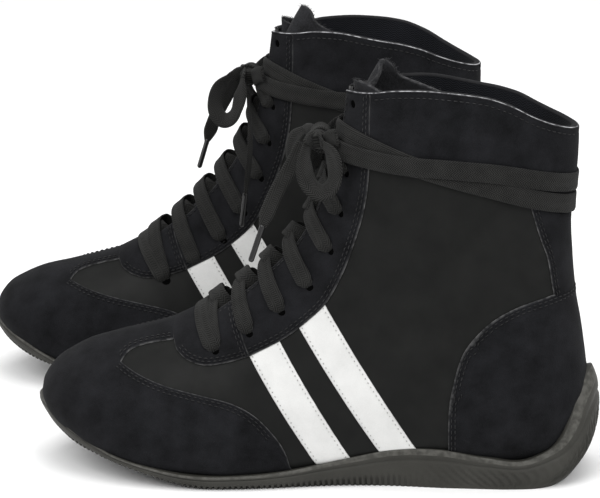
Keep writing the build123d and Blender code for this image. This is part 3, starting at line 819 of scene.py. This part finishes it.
COUNTER_OUTLINE = ring(uv_side(COUNTER_EDGE, 1), uv_side(COUNTER_EDGE, -1, True)[::-1],
                       feather(-1, 71.8, 14, True), feather(1, 14, 71.8))
COLLAR_OUTLINE = ring(uv_side(COLLAR_LOW, 1), uv_side(COLLAR_LOW, -1, True)[::-1],
                      uv_side([(112.2, 164), (111.9, 184), (111.6, 200.6)], -1, True),
                      top_line(-1, 111, 9.5, True), top_line(1, 9.5, 111),
                      uv_side([(111.6, 200.6), (111.9, 184), (112.2, 164)], 1))
BACKSTAY_OUTLINE = ring(uv_side(BACKSTAY_EDGE, 1), uv_side(BACKSTAY_EDGE, -1, True)[::-1])


def stripe_outline(quad, side):
    """A strip from its two top corners down to just under the sole edge."""
    a, b, c, d = [np.array(p, float) for p in quad]
    line = Smooth(*zip(*FEATHER))
    c = b + (c - b) * (b[1] - line(c[0]) + 0.5) / (b[1] - c[1])
    d = a + (d - a) * (a[1] - line(d[0]) + 0.5) / (a[1] - d[1])
    return ring(*[uv_side(pair, side, rounded=False) for pair in ((a, b), (b, c), (c, d), (d, a))])


STRIPE_QUADS = ([(173.5, 66.5), (158, 74.5), (112, 0), (131, 0)],
                [(148, 81.5), (135, 93.5), (75, 0), (94.5, 0)])


def disc(centre, radius, n=14):
    """Round hole of that radius in millimetres, in panel coordinates."""
    du, dv = jacobian(np.array([centre]))
    a = np.linspace(0, 2 * math.pi, n, endpoint=False)
    return np.array(centre) + np.stack([np.cos(a) / np.linalg.norm(du[0]),
                                        np.sin(a) / np.linalg.norm(dv[0])], -1) * radius


EYELETS = {side: [uv_y(angle, side * half) for angle, half in LACE_ROWS + [TOP_EYELET]]
           for side in (-1, 1)}
SIDE_NAME = {-1: "lateral", 1: "medial"}


# ---- upper of one boot
def punched(centres, outline):
    """Round holes at those places that lie inside the outline."""
    holes = [disc(place, EYELET_RADIUS) for place in centres]
    return [h for h in holes if inside(h, outline).all()]


def build_stripes(boot, side):
    """Two white strips of one side; returns the paths of their stitches."""
    white = []
    for number, quad in enumerate(STRIPE_QUADS, 1):
        outline = stripe_outline(quad, side)
        obj = panel(f"{boot}_stripe_{SIDE_NAME[side]}_{number}", boot, outline, WHITE, top=-0.5,
                    thick=0.9, puff=0.12, roll=0.2)
        finish_piece(obj, boot, "stripes_" + SIDE_NAME[side] if number == 1 else None)
        for top, foot in ((quad[0], quad[3]), (quad[1], quad[2])):
            above_sole = np.array(top) * 0.14 + np.array(foot) * 0.86
            edge = uv_side([top, above_sole], side, rounded=False)
            white += stitch(inset(edge, 1.5, outline.mean(0)), -0.3, length=0.7, gap=1.9)
    return white


def build_upper(boot):
    """Panels, stripes and stitching of one boot."""
    black, white = [], []

    def cut(name, outline, mat, slot, node, **shape):
        finish_piece(panel(f"{boot}_{name}", boot, outline, mat, **shape), boot, node)

    cut("vamp_skin", VAMP_OUTLINE, SMOOTH, "smooth_synthetic", "vamp", top=BASE_TOP, puff=0.25)
    cut("toe_mudguard", TOE_OUTLINE, SUEDE, "suede", "toe_cap", puff=0.35)
    low_eyelets = [EYELETS[side][row] for side in (-1, 1) for row in (0, 1)]
    cut("throat", THROAT_OUTLINE, SUEDE, "suede", "throat_piece", top=0.35, thick=1.8, puff=0.35,
        holes=punched(low_eyelets, THROAT_OUTLINE))
    for side in (-1, 1):
        word = SIDE_NAME[side]
        sign = np.array([-side, 1.0])
        cut("quarter_skin_" + word, quarter_outline(side), SMOOTH, "smooth_synthetic",
            "quarter_" + word, top=BASE_TOP, puff=0.2, grid=2.6)
        outline = eyestay_outline(side)
        cut("facing_" + word, outline, SUEDE, "suede", "eyestay_" + word, grid=2.0,
            holes=punched(EYELETS[side], outline))
        # Painted shade: near-black discs under the eyelet holes
        shade_discs = joined([painted_shade_disc(e) for e in EYELETS[side]])
        finish_piece(make_mesh(f"{boot}_eyelet_painted_shade_{word}", boot, *shade_discs[:2], EYELET_SHADE_PAINT), boot)
        white += build_stripes(boot, side)
        # each row: seam, a place on the side where its thread lies, height, distances from the seam
        for line, u, angle, height, insets in (
                (uv_side(EYESTAY_REAR, side), 0, 55, 0.35, (1.7, 3.5)),
                (gap_edge(side, GAP_START + 0.4, TOP_ANGLE - 0.4), 0.55 * side * U_SCALE, 60, 0.3, (2,)),
                (join * sign, 0, 30, 0.75, (1.4, 3.0)),
                (throat_side * sign, 0, 38, 0.72, (1.6, 3.3)),
                (uv_side(MUDGUARD_LINE[:-2], side), side * 80.0, 24, 0.35, (1.7, 3.5)),
                (strip_line[:-1] * sign, 0, 28, 0.35, (1.5, 3.1))):
            black += stitch_rows(line, (u, angle * V_SCALE), height, insets)
    cut("counter", COUNTER_OUTLINE, SUEDE, "suede", "heel_counter", grid=2.4)
    cut("collar_band", COLLAR_OUTLINE, SUEDE, "suede", "collar", top=0.05, grid=2.4)
    cut("backstay_strip", BACKSTAY_OUTLINE, SUEDE, "suede", "backstay", top=-0.1, grid=2.4)
    for side, wrap in ((1, False), (-1, True)):
        for line, angle, height, insets in (
                (uv_side(COUNTER_EDGE, side, wrap), 52, 0.32, (1.7, 3.5)),
                (uv_side(BACKSTAY_EDGE, side, wrap), 60, 0.22, (1.4, 2.9)),
                (uv_side(COLLAR_LOW, side, wrap), 74, 0.35, (1.7,)),
                (top_line(side, 110, 10, wrap), 60, 0.35, (3.0,))):
            black += stitch_rows(line, (U_SCALE, angle * V_SCALE), height, insets)
    finish_piece(make_mesh(boot + "_stitching", boot, *tube_mesh(black, 0.30), THREAD), boot)
    finish_piece(make_mesh(boot + "_stripe_stitching", boot, *tube_mesh(white, 0.26, sides=5),
                           WHITE_THREAD), boot)


def painted_shade_disc(centre):
    """Painted shade: a near-black disc under an eyelet hole, so the hole looks dark."""
    ring_uv = disc(centre, 2.6)
    verts = surface(np.vstack([ring_uv, [centre]]), -0.95)
    n = len(ring_uv)
    return verts, [(i, (i + 1) % n, n) for i in range(n)], np.zeros((n + 1, 2))


def build_lining(boot):
    """Fabric lining inside the upper."""
    parts = []
    for outline, grid in ((quarter_outline(-1), 3.4), (quarter_outline(1), 3.4), (VAMP_OUTLINE, 3.6)):
        uv, faces, _ = fill(outline, grid=grid)
        parts.append((surface(uv, LINING_TOP), [tuple(f) for f in faces], uv))
    verts, faces, uv = joined(parts)
    obj = make_mesh(boot + "_sock_lining", boot, verts, faces, LINING_CLOTH, uv=uv)
    finish_piece(obj, boot, "lining")


def build_binding(boot):
    """Rounded strip over the top edge, from one side of the gap round the back to the other."""
    front_out = gap_edge(-1, TOP_ANGLE - 0.3, TOP_ANGLE)[-1:] + [2 * U_SCALE, 0]
    front_in = gap_edge(1, TOP_ANGLE - 0.3, TOP_ANGLE)[-1:]
    run = np.vstack([front_out, top_line(-1, 119, 9.5, True), top_line(1, 9.5, 119), front_in])
    run = dense(run, 1.6, rounded=False)
    outer, inner = surface(run, 0.15), surface(run, LINING_TOP - 0.05)
    section = np.array([0, 0.3, 0.52, 0.66, 0.85, 1.0, 1.4, 1.9, 2.4, 2.8, math.pi])
    up = np.array([0, 0, 1.0])
    verts = np.stack([(outer + inner) / 2 + (outer - inner) / 2 * math.cos(a)
                      + up * (1.15 * math.sin(a) - 0.35) for a in section], 1).reshape(-1, 3)
    k = len(section)
    uv = np.stack([np.tile(section * 1.5, len(run)), np.repeat(run_along(outer), k)], -1)
    # Painted highlight: a thin light strip along the outer top of the rolled edge
    painted_highlight_band = np.where(np.abs(section - 0.75) < 0.25, -0.2, 3.0)
    obj = make_mesh(boot + "_topline_edge", boot, verts, grid_faces(len(run), k), BINDING, uv=uv,
                    closed=True, edge=np.tile(painted_highlight_band, len(run)))
    finish_piece(obj, boot)


# ---- tongue
TONGUE_LOW, TONGUE_TOP = 33.8, 73.4


def tongue_front():
    """Front face of the tongue, row by row upwards; its top folds over in three flaps."""
    angles = np.concatenate([np.linspace(TONGUE_LOW, 70, 60), np.linspace(70.4, TONGUE_TOP, 12)])
    across = np.linspace(-1, 1, 33)
    fold = above(across, -0.22, 0.06)
    peak = (7.2 * bell(across, 0.2, 0.34) - 5.0 * bell(across, -0.24, 0.10)
            - 2.2 * np.clip(-across - 0.3, 0, 1) - 8.0 * np.clip(across - 0.55, 0, 1))
    rows = []
    for angle in angles:
        rise = max((angle - 68) / (TONGUE_TOP - 68), 0.0)
        p = surface(uv_y(np.full(33, angle), across * (20.0 + 1.5 * rise)), -4.6 - 0.6 * np.abs(across) ** 4)
        pad = 0.5 * np.sin(angle * 0.9) * (1 - across ** 2) + 0.25 * np.sin(angle * 2.1 + across * 3)
        ragged = rise ** 1.5
        p[:, 0] += pad * 0.35 + ragged * 1.3 * np.sin(across * 11 + 0.6)
        p[:, 0] -= rise ** 1.3 * (14.5 * fold - 1.5 + 5.0 * np.clip(across, 0, 1))
        p[:, 1] += ragged * (1.2 * np.sin(across * 6) * fold - 2.0 * np.clip(across - 0.4, 0, 1))
        p[:, 2] += ragged * (peak + 0.7 * np.sin(across * 9 + 1))
        rows.append(p)
    to_edge = np.minimum((TONGUE_TOP - angles) * V_SCALE, 60.0)
    return np.array(rows), across, np.repeat(to_edge, 33)


def build_tongue(boot):
    """Padded suede tongue with loose fibres along its raw top edge."""
    front, across, to_edge = tongue_front()
    n, k = front.shape[:2]
    normal = unit(np.cross(np.gradient(front, axis=0), np.gradient(front, axis=1)))
    if normal[n // 2, k // 2, 0] < 0:
        normal = -normal
    back = front - normal * 2.6 * (1 - 0.35 * np.abs(across) ** 6)[None, :, None]
    obj = make_mesh(boot + "_tongue_pad", boot, *slab(front, back), TONGUE_SUEDE, closed=True,
                    edge=np.tile(to_edge, 2))
    finish_piece(obj, boot, "tongue", "tongue")
    rng = np.random.default_rng(11 if boot == "left" else 12)
    fibres = []
    tops = (front[-1] + back[-1]) / 2
    for _ in range(420):
        u = rng.uniform(0, k - 1.001)
        i = int(u)
        p = tops[i] * (1 - u + i) + tops[i + 1] * (u - i)
        p = p + normal[-1, i] * rng.uniform(-1.3, 1.3)
        d = np.array([rng.normal(0, 0.6), rng.normal(0, 0.6), rng.uniform(0.2, 1.0)])
        bend = np.array([rng.normal(0, 0.5), rng.normal(0, 0.5), 0])
        size = rng.uniform(0.6, 1.5)
        fibres.append(np.array([p - d * 0.3, p + d * size * 0.5, p + (d + bend) * size]))
    obj = make_mesh(boot + "_tongue_raw_edge", boot, *tube_mesh(fibres, 0.09, sides=3), FUZZ)
    finish_piece(obj, boot, body="tongue")


# ---- laces
def skin_ribbon(uv, lift, width=LACE_WIDTH):
    """Lace lying on the upper along a panel line, lift above the skin."""
    path = surface(uv, lift)
    _, normal = skin_frame(uv[:, 1] / V_SCALE, unwrapped(uv[:, 0] / U_SCALE))
    return ribbon_mesh(path, np.cross(np.gradient(path, axis=0), normal), width, LACE_THICK)


def at_eyelet(run):
    """Rise and width of a crossed lace at distance run from its hole."""
    lift = 0.5 * bell(run, 4, 2.2) - LACE_DIP * bell(run, 0, DIP_RUN)
    return lift, (LACE_WIDTH - 0.4) * (1 - 0.5 * bell(run, 0, 2.6))


def crossed_strand(side, row):
    """Lace from an eyelet over the gap and under the facing on the other side."""
    line = straight(EYELETS[side][row], EYELETS[-side][row + 1], 0.8)
    t = np.linspace(0, 1, len(line))
    flat = surface(line, 0.0)
    y = flat[:, 1] * side
    end_lift, width = at_eyelet(run_along(flat))
    lift = 1.1 + (1.5 if side > 0 else -0.5) * bell(t, 0.5, 0.16) + end_lift
    gap = gap_half(line[:, 1] / V_SCALE)
    dive = 1 - above(y + gap, 3.2, 0.9)
    keep = y > -(gap + 5.0)
    return skin_ribbon(line[keep], (lift * (1 - dive) - 4.3 * dive)[keep], width[keep])


def ankle_turn(route, height):
    """Lace wound round the ankle, from the gap round the back to the gap again."""
    outer = uv_side(route, -1, True, step=2.0)
    inner = uv_side(route, 1, step=2.0)
    outer[:, 0] = np.maximum(outer[:, 0], U_SCALE)
    ends = [[2 * U_SCALE - 2, outer[0, 1]]], [[2, inner[0, 1]]]
    uv = dense(np.vstack([ends[0], outer, inner[::-1], ends[1]]), 2.0, rounded=False)
    for _ in range(6):
        uv[1:-1] = (uv[:-2] + 2 * uv[1:-1] + uv[2:]) / 4
    return skin_ribbon(uv, height(surface(uv, 0.0)[:, 0]))


def build_laces(boot):
    """Crossed lace over the gap and the two turns round the ankle."""
    parts = [crossed_strand(side, row) for row in range(len(LACE_ROWS) - 1) for side in (-1, 1)]
    line = straight(EYELETS[-1][0], EYELETS[1][0], 1.2)
    run = run_along(surface(line, 0.0))
    lift, width = at_eyelet(np.minimum(run, run[-1] - run))
    parts.append(skin_ribbon(line, 1.35 + lift, width))
    wraps = [ankle_turn(WRAP_OVER, lambda s: 2.35 - 1.2 * (1 - above(s, 44, 6))),
             ankle_turn(WRAP_UNDER, lambda s: 1.0 + 0.35 * (1 - above(s, 44, 6)) - 0.3 * above(s, 118, 4))]
    for name, pieces, node in (("crossed_lace", parts, "lace_threaded"),
                               ("ankle_lace", wraps, "lace_ankle_wrap")):
        verts, faces, uv = joined(pieces)
        obj = make_mesh(f"{boot}_{name}", boot, verts, faces, LACE, uv=uv, closed=True)
        finish_piece(obj, boot, node)


def build_knot(boot):
    """Bow knot: one turn of lace around the middle and the strands that go into it."""
    c = np.array([138.5, 0.0, 174.5])
    a = np.linspace(0, 2 * math.pi, 49)
    turn = np.stack([c[0] + 4.9 * np.cos(a), c[1] + 1.2 * np.sin(a + 0.5), c[2] + 5.9 * np.sin(a)], -1)
    parts = [ribbon_mesh(turn, (0.12, 1.0, 0.1), 9.0, 2.6, crown=0.9)]
    for sign in (-1, 1):
        p = dense([(133.5, 0, 170), (135.5, 5 * sign, 173), (134.5, 9.5 * sign, 175),
                   (131.5, 13.5 * sign, 177.5), (128.5, 16.5 * sign, 178.5)], 1.2)
        parts.append(ribbon_mesh(p, (0.35, -0.25 * sign, 1.0), 8.8, 1.4))
    for sign, route in ((-1, LOOP_LATERAL), (1, LOOP_MEDIAL)):
        route = np.array(route, float)
        across = cone_directions(route, sign)
        for end, inner, last in ((route[0], route[1], across[0]), (route[-1], route[-2], across[-1])):
            q = dense([c + [0.5, 2.0 * sign, 0.5], (c + end) / 2 + [0.8, 0.6 * sign, 1.2], end,
                       end + unit(inner - end) * 1.5], 1.0)
            mix = np.linspace(0, 1, len(q))[:, None]
            parts.append(ribbon_mesh(q, last * mix + np.array([0.4, 0, 0.9]) * (1 - mix),
                                     8.4 - 2.6 * mix[:, 0], 1.7))
    core = dense([(138.2, -7.6, 174.2), (139, 0, 174.5), (138.2, 7.6, 174.2)], 0.8)
    bulge = 1 - 0.35 * np.abs(np.linspace(-1, 1, len(core))) ** 4
    parts.append(ribbon_mesh(core, (0.15, 0, 1.0), 10.5 * bulge, 8.6, crown=0.5))
    verts, faces, uv = joined(parts)
    obj = make_mesh(boot + "_bow_knot", boot, verts, faces, LACE, uv=uv, closed=True)
    finish_piece(obj, boot, "lace_knot")


# Routes of the free laces, as in the part's source or moved from there by less than 10 mm.
LOOP_LATERAL = [(136.6, -10.8, 174), (131.8, -18.5, 172), (128, -25.5, 165.5), (128.8, -27.5, 156.5),
                (135.5, -27, 151.5), (142.5, -25.5, 156.5), (145.2, -20.5, 166), (144.2, -10.8, 174)]
TAIL_LATERAL = [(147.2, -2, 172), (152, -7, 162), (158.5, -12, 151.5), (163.8, -16, 140.5),
                (167, -18, 131)]
LOOP_MEDIAL = [(140.5, 10.8, 175.8), (141, 15.5, 170.5), (142, 18.5, 162), (145, 20, 154),
               (151, 20, 151.5), (156, 18.5, 157.5), (155.5, 16, 166), (152, 13, 173),
               (147, 10.8, 176)]
TAIL_MEDIAL = [(138.6, 6, 164.6), (137.5, 14, 157), (135.5, 22.5, 148.5), (135, 28, 138),
               (136.2, 30, 125), (138, 30.5, 112)]


def spline_points(name, boot, route):
    """Centreline of a free lace: a spline through the route, read back as points in the row frame."""
    curve = bpy.data.curves.new(name, "CURVE")
    curve.dimensions = "3D"
    line = curve.splines.new("NURBS")
    line.points.add(len(route) - 1)
    for point, place in zip(line.points, world(route, boot)):
        point.co = (*place, 1)
    line.order_u = 3
    line.use_endpoint_u = True
    line.resolution_u = 12
    holder = bpy.data.objects.new(name, curve)
    bpy.context.scene.collection.objects.link(holder)
    bpy.context.view_layer.update()
    mesh = bpy.data.meshes.new_from_object(holder)
    points = np.array([tuple(v.co) for v in mesh.vertices])
    bpy.data.objects.remove(holder)
    bpy.data.meshes.remove(mesh)
    return points


def boot_points(placed, boot):
    """Row-frame metres back to boot points (s, y, z) in millimetres."""
    x, y = placed[:, 0] * 1000 - ORIGIN_X, placed[:, 1] * 1000 - ORIGIN_Y
    if boot == "right":
        x, y = x + STAGGER, SPACING - y
    p = np.stack([-x, y, placed[:, 2] * 1000], -1)
    return 2 * p - domed(p) if boot == "left" else p


def cone_directions(path, out):
    """Width directions of a bow loop: it opens like a cone towards its outer side."""
    radial = path - (path[len(path) // 2] + path[0] + path[-1]) / 3
    radial[:, 1] = 0
    return 0.78 * unit(radial) + np.array([0.0, 0.62 * out, 0.0])


def lace_piece(name, boot, path, across, width, node, body):
    verts, faces, uv = ribbon_mesh(path, across, width, LACE_THICK)
    obj = make_mesh(name, boot, verts, faces, LACE, uv=uv, closed=True)
    finish_piece(obj, boot, node, body)
    return obj


def build_loop(boot, side, out, route):
    placed = spline_points(f"{boot}_{side}_loop_line", boot, route)
    path = boot_points(placed, boot)
    t = np.linspace(0, 1, len(path))
    pinch = bell(t, 0, 0.09) + bell(t, 1, 0.09)
    obj = lace_piece(f"{boot}_bow_{side}", boot, path, cone_directions(path, out), 9.4 - 4.4 * pinch,
                     "bow_loop_" + side, side + "_loop")


def build_tail(boot, side, facing, route):
    placed = spline_points(f"{boot}_{side}_tail_line", boot, route)
    path = boot_points(placed, boot)
    t = np.linspace(0, 1, len(path))
    width = 7.8 - 4.6 * np.clip((t - 0.86) / 0.14, 0, 1) ** 1.5
    obj = lace_piece(f"{boot}_end_{side}", boot, path, np.cross(np.gradient(path, axis=0), facing),
                     width, "lace_tail_" + side, side + "_tail")
    sleeve = path[-1] + unit(path[-1] - path[-2]) * np.linspace(-1.5, 18.0, 26)[:, None]
    tip = make_mesh(f"{boot}_aglet_tube_{side}", boot, *aglet_mesh(sleeve), AGLET, closed=True)
    finish_piece(tip, boot, "aglet_" + side, side + "_tail")


def build_cords(boot):
    build_loop(boot, "lateral", -1.0, LOOP_LATERAL)
    build_tail(boot, "lateral", (0.25, -1.0, 0.1), TAIL_LATERAL)
    build_loop(boot, "medial", 1.0, LOOP_MEDIAL)
    build_tail(boot, "medial", (1.0, -0.25, 0.15), TAIL_MEDIAL)


def aglet_mesh(path, radius=1.5):
    """Plastic sleeve with two crimp rings and a rounded end."""
    along = unit(path[-1] - path[0])
    at = np.linspace(0, 1, len(path))
    radii = radius * (1 - 0.07 * bell(at, 0.22, 0.03) - 0.07 * bell(at, 0.3, 0.03))
    radii *= np.sqrt(np.maximum(1 - np.maximum((at - 0.94) / 0.075, 0) ** 2, 0.05))
    side = np.broadcast_to(unit(np.cross(along, [0.2, 1.0, 0.1])), path.shape)
    return rod(path, np.broadcast_to(along, path.shape), side, radii, 18)


# ---- outsole and footbed
SOLE_PLAN = [(53, 34, 32.5), (75, 34.3, 31), (100, 35, 29), (120, 37, 29), (135, 39, 30),
             (150, 42, 33), (165, 45, 36.5), (180, 47.3, 41), (195, 48.5, 45), (210, 48.5, 47.2),
             (222, 47.5, 48), (234, 45, 47.3), (245, 42, 45), (254, 37.8, 42), (262, 33.5, 38.5),
             (269, 29, 34.8), (275, 23.5, 30.5), (280, 18, 25.8), (284, 12, 20.5), (288, 4.5, 13)]
TOE_TIP_Y = 4.2
SOLE_LOW = [(-10, 0), (194, 0), (210, 2.2), (222, 5.2), (234, 8.2), (245, 11.2), (254, 13.5),
            (262, 15.6), (269, 17.8), (275, 20), (280, 22), (284, 24.2), (289, 27)]
HEEL_TOP = [(0.6, 0, 57), (3, 9, 54.4), (7.4, 17, 46), (10, 21.5, 36), (15, 24.5, 25), (23, 26, 18),
            (33, 31, 15)]
HEEL_MID = [(-3.1, 0, 29), (-2.6, 7, 28), (-0.6, 15, 25), (3.6, 22, 19.5), (12, 28, 13), (23, 31, 9),
            (33, 33, 7)]
HEEL_LOW = [(8.8, 0, 3), (9.5, 9, 2.4), (12.5, 17.5, 1.4), (18, 25.5, 0.5), (26, 30.5, 0), (34, 32.5, 0),
            (42, 33.5, 0)]


def sole_side(side):
    """Top edge, bulge and bottom edge of the wall on one side, from the heel to the toe."""
    top_z, low_z = Smooth(*zip(*SOLE_TOP)), Smooth(*zip(*SOLE_LOW))
    top, mid, low = list(HEEL_TOP), list(HEEL_MID), list(HEEL_LOW)
    for s, *halves in SOLE_PLAN:
        half = halves[0 if side < 0 else 1]
        near_toe = max((s - 262) / 26, 0)
        zt = float(top_z(s)) + 1.7 * min(max((s - 205) / 20, 0), 1)
        zl = float(low_z(s))
        flare = 2.4 * min(max((110 - s) / 25, 0), 1)
        top.append((s - 0.3 * near_toe, half - 0.4 + 0.9 * near_toe, zt))
        mid.append((s, half + 0.4 + 1.2 * near_toe, zt * 0.45 + zl * 0.55))
        low.append((s - 2.2 * near_toe, half - 2.6 + flare, zl))
    for curve, s, z in ((top, 290.0, 34.0), (mid, 291.0, 30.6), (low, 288.2, 26.8)):
        curve.append((s, TOE_TIP_Y * side, z))      # one shared point, towards the inner side
    return [np.array(curve) * [1, side, 1] for curve in (top, mid, low)]


def sole_curves():
    """The three curves all the way round, and the distance of each point along the bulge."""
    curves = [np.vstack([outer, inner[::-1][1:-1], outer[:1]])
              for outer, inner in zip(sole_side(-1), sole_side(1))]
    run = run_along(curves[1])
    at = np.linspace(0, run[-1], 1700, endpoint=False)
    keys = np.concatenate([run[-3:-1] - run[-1], run, run[1:3] + run[-1]])
    return [np.stack([hermite(at, keys, np.concatenate([c[-3:-1, k], c[:, k], c[1:3, k]]))
                      for k in range(3)], -1) for c in curves], at


def hermite(x, xs, ys):
    """Smooth curve through (xs, ys), which may turn back."""
    slope = np.gradient(ys, xs)
    i = np.clip(np.searchsorted(xs, x, side="right") - 1, 0, len(xs) - 2)
    h = xs[i + 1] - xs[i]
    t = (x - xs[i]) / h
    return ((1 + 2 * t) * (1 - t) ** 2 * ys[i] + t * (1 - t) ** 2 * h * slope[i]
            + t * t * (3 - 2 * t) * ys[i + 1] - t * t * (1 - t) * h * slope[i + 1])


def wave(x, period, steep, level):
    """Ridges along x: 0 in the grooves, 1 on the ridges."""
    return np.clip(np.sin(x * 2 * math.pi / period) * steep + level, 0, 1)


def wall_relief(at, mid, f):
    """How far the sole wall stands out at fraction f of its height, downwards."""
    front = above(mid[:, 0], 98, 10)
    heel_side = np.exp(-((mid[:, 0] - 50) / 34) ** 4) * (1 - front)
    kick = 1 - above(mid[:, 0], 11, 3)
    shape = -0.65 * bell(f, 0.235, 0.022) - 1.5 * (1 - wave(at, 2.9, 2.2, 0.9)) * above(f, 0.66, 0.03) * front
    if f <= 0.2:
        shape = shape + 0.35 * math.sin(math.pi * min(max(f, 0) / 0.2, 1)) + 0.15
    band = above(f, 0.36, 0.03) * (1 - above(f, 0.9, 0.02))
    slant = wave(at + np.where(mid[:, 1] < 0, 1, -1) * 22 * f, 5.2, 2.4, 0.7)
    chevron = wave(np.abs(at % 7.0 - 3.5) * 1.3 + f * 46, 3.6, 2.2, 0)
    return shape - 0.7 * (1 - slant) * band * heel_side - 0.75 * (1 - chevron) * band * kick


def build_outsole(boot):
    """Rubber sole: wall with lip, teeth and heel pattern, then the tread underneath."""
    (top, mid, low), at = sole_curves()
    out = mid - np.stack([np.clip(mid[:, 0], 30, 262), 0 * at, mid[:, 2]], -1)
    out = unit(out * [1, 1, 0])
    levels, edge = [], []
    for f in [-0.12, -0.05, 0.0, 0.05, 0.12, 0.17, 0.2, 0.24, 0.27, *np.linspace(0.32, 0.97, 13), 1.0]:
        g = max(f, 0)
        p = top * (1 - g) * (1 - 2 * g) + mid * 4 * g * (1 - g) + low * g * (2 * g - 1)
        if f < 0:
            p = p + out * f * 38 + [0, 0, f * 5]
        levels.append(p + out * wall_relief(at, mid, f)[:, None])
        edge.append(0.0 if 0.0 <= f <= 0.13 else 3.0)
    rim = levels[-1]
    axis = np.stack([np.clip(rim[:, 0], 34, 248), np.clip(rim[:, 0] - 200, 0, 90) * 0.03, rim[:, 2]], -1)
    for f in [0.025, *np.linspace(0.06, 1.0, 22)]:
        p = rim + (axis - rim) * f
        tread = wave(p[:, 0] + np.abs(p[:, 1] % 9.0 - 4.5), 5.5, 2, 0)
        worn = np.clip((p[:, 0] - 120) / 15, 0, 1) + np.clip((98 - p[:, 0]) / 10, 0, 1)
        if f > 0.03:
            p[:, 2] += 0.2 + 0.9 * tread * worn
        levels.append(p)
        edge.append(3.0)
    n = len(at)
    verts = np.vstack(levels)
    verts[:, 2] = np.maximum(verts[:, 2], 0.0)
    uv = np.stack([np.tile(at, len(levels)), np.repeat(np.arange(len(levels)), n) * 2.0], -1)
    obj = make_mesh(boot + "_rubber_sole", boot, verts, grid_faces(len(levels), n, True), RUBBER,
                    uv=uv, closed=True, edge=np.repeat(edge, n))
    finish_piece(obj, boot, "outsole")


FOOTBED_TOP = [(276, 29.5), (268, 25.5), (257, 21.5), (228, 14.6), (190, 12), (150, 12.6),
               (100, 15.6), (50, 15.6), (28, 17), (12, 22), (0, 27)]


def build_footbed(boot):
    """Padded sock bed with a shallow cup at its edges."""
    s = np.linspace(14, 272, 110)
    z = Smooth(*zip(*FOOTBED_TOP))(s)
    angle, r = polar(s, z)
    share = share_at(angle, r)
    across = np.linspace(-1, 1, 25)
    left, right = skin(angle, -share, -4.3)[:, 1:2], skin(angle, share, -4.3)[:, 1:2]
    y = left + (right - left) * (across + 1) / 2
    top = np.stack([np.repeat(s[:, None], 25, 1), y, z[:, None] + 1.1 * np.abs(across) ** 4], -1)
    low = top * [1, 0.97, 1] - [0, 0, 3.0]
    verts, faces = slab(top, low)
    obj = make_mesh(boot + "_sock_bed", boot, verts, faces, FOOTBED_CLOTH, uv=verts[:, :2], closed=True)
    finish_piece(obj, boot, "footbed")


# ---- build both boots
for boot_name in ("left", "right"):
    for build in (build_cords, build_laces, build_knot, build_tongue, build_upper, build_lining,
                  build_binding, build_outsole, build_footbed):
        build(boot_name)
    for node_name, finish in (("midsole", FOAM), ("insole_board", BOARD), ("toe_puff", STIFF),
                              ("heel_stiffener", STIFF)):
        node = frame["nodes"][f"{boot_name}_{node_name}"]
        node.data.materials.clear()
        node.data.materials.append(finish)


# ---- floor and light
def build_stage():
    """Pale floor, white surroundings and three soft lamps."""
    floor_mat = surface_material("floor", (0.80, 0.80, 0.80), (0.86, 0.86, 0.86), rough=0.7, grain=60,
                                 blotch=3, bump=0.02)
    mesh = bpy.data.meshes.new("studio_floor")
    mesh.from_pydata([(-30, -30, 0), (30, -30, 0), (30, 30, 0), (-30, 30, 0)], [], [(0, 1, 2, 3)])
    mesh.materials.append(floor_mat)
    floor = bpy.data.objects.new("studio_floor", mesh)
    bpy.context.scene.collection.objects.link(floor)
    for name, place, size, power in (("key_light", (-0.7, -1.2, 1.5), 1.3, 22),
                                     ("fill_light", (1.2, -1.0, 1.1), 1.2, 12),
                                     ("top_light", (0.1, 0.2, 1.8), 1.6, 22)):
        data = bpy.data.lights.new(name, "AREA")
        data.energy, data.size = power, size
        lamp = bpy.data.objects.new(name, data)
        lamp.location = place
        aim = Vector((0, 0, 0.08)) - lamp.location
        lamp.rotation_euler = aim.to_track_quat("-Z", "Y").to_euler()
        bpy.context.scene.collection.objects.link(lamp)
    world_data = bpy.data.worlds.new("studio")
    world_data.use_nodes = True
    background = world_data.node_tree.nodes["Background"]
    background.inputs["Color"].default_value = (1, 1, 1, 1)
    background.inputs["Strength"].default_value = 0.75
    bpy.context.scene.world = world_data
    bpy.context.scene.view_settings.view_transform = "Standard"


build_stage()
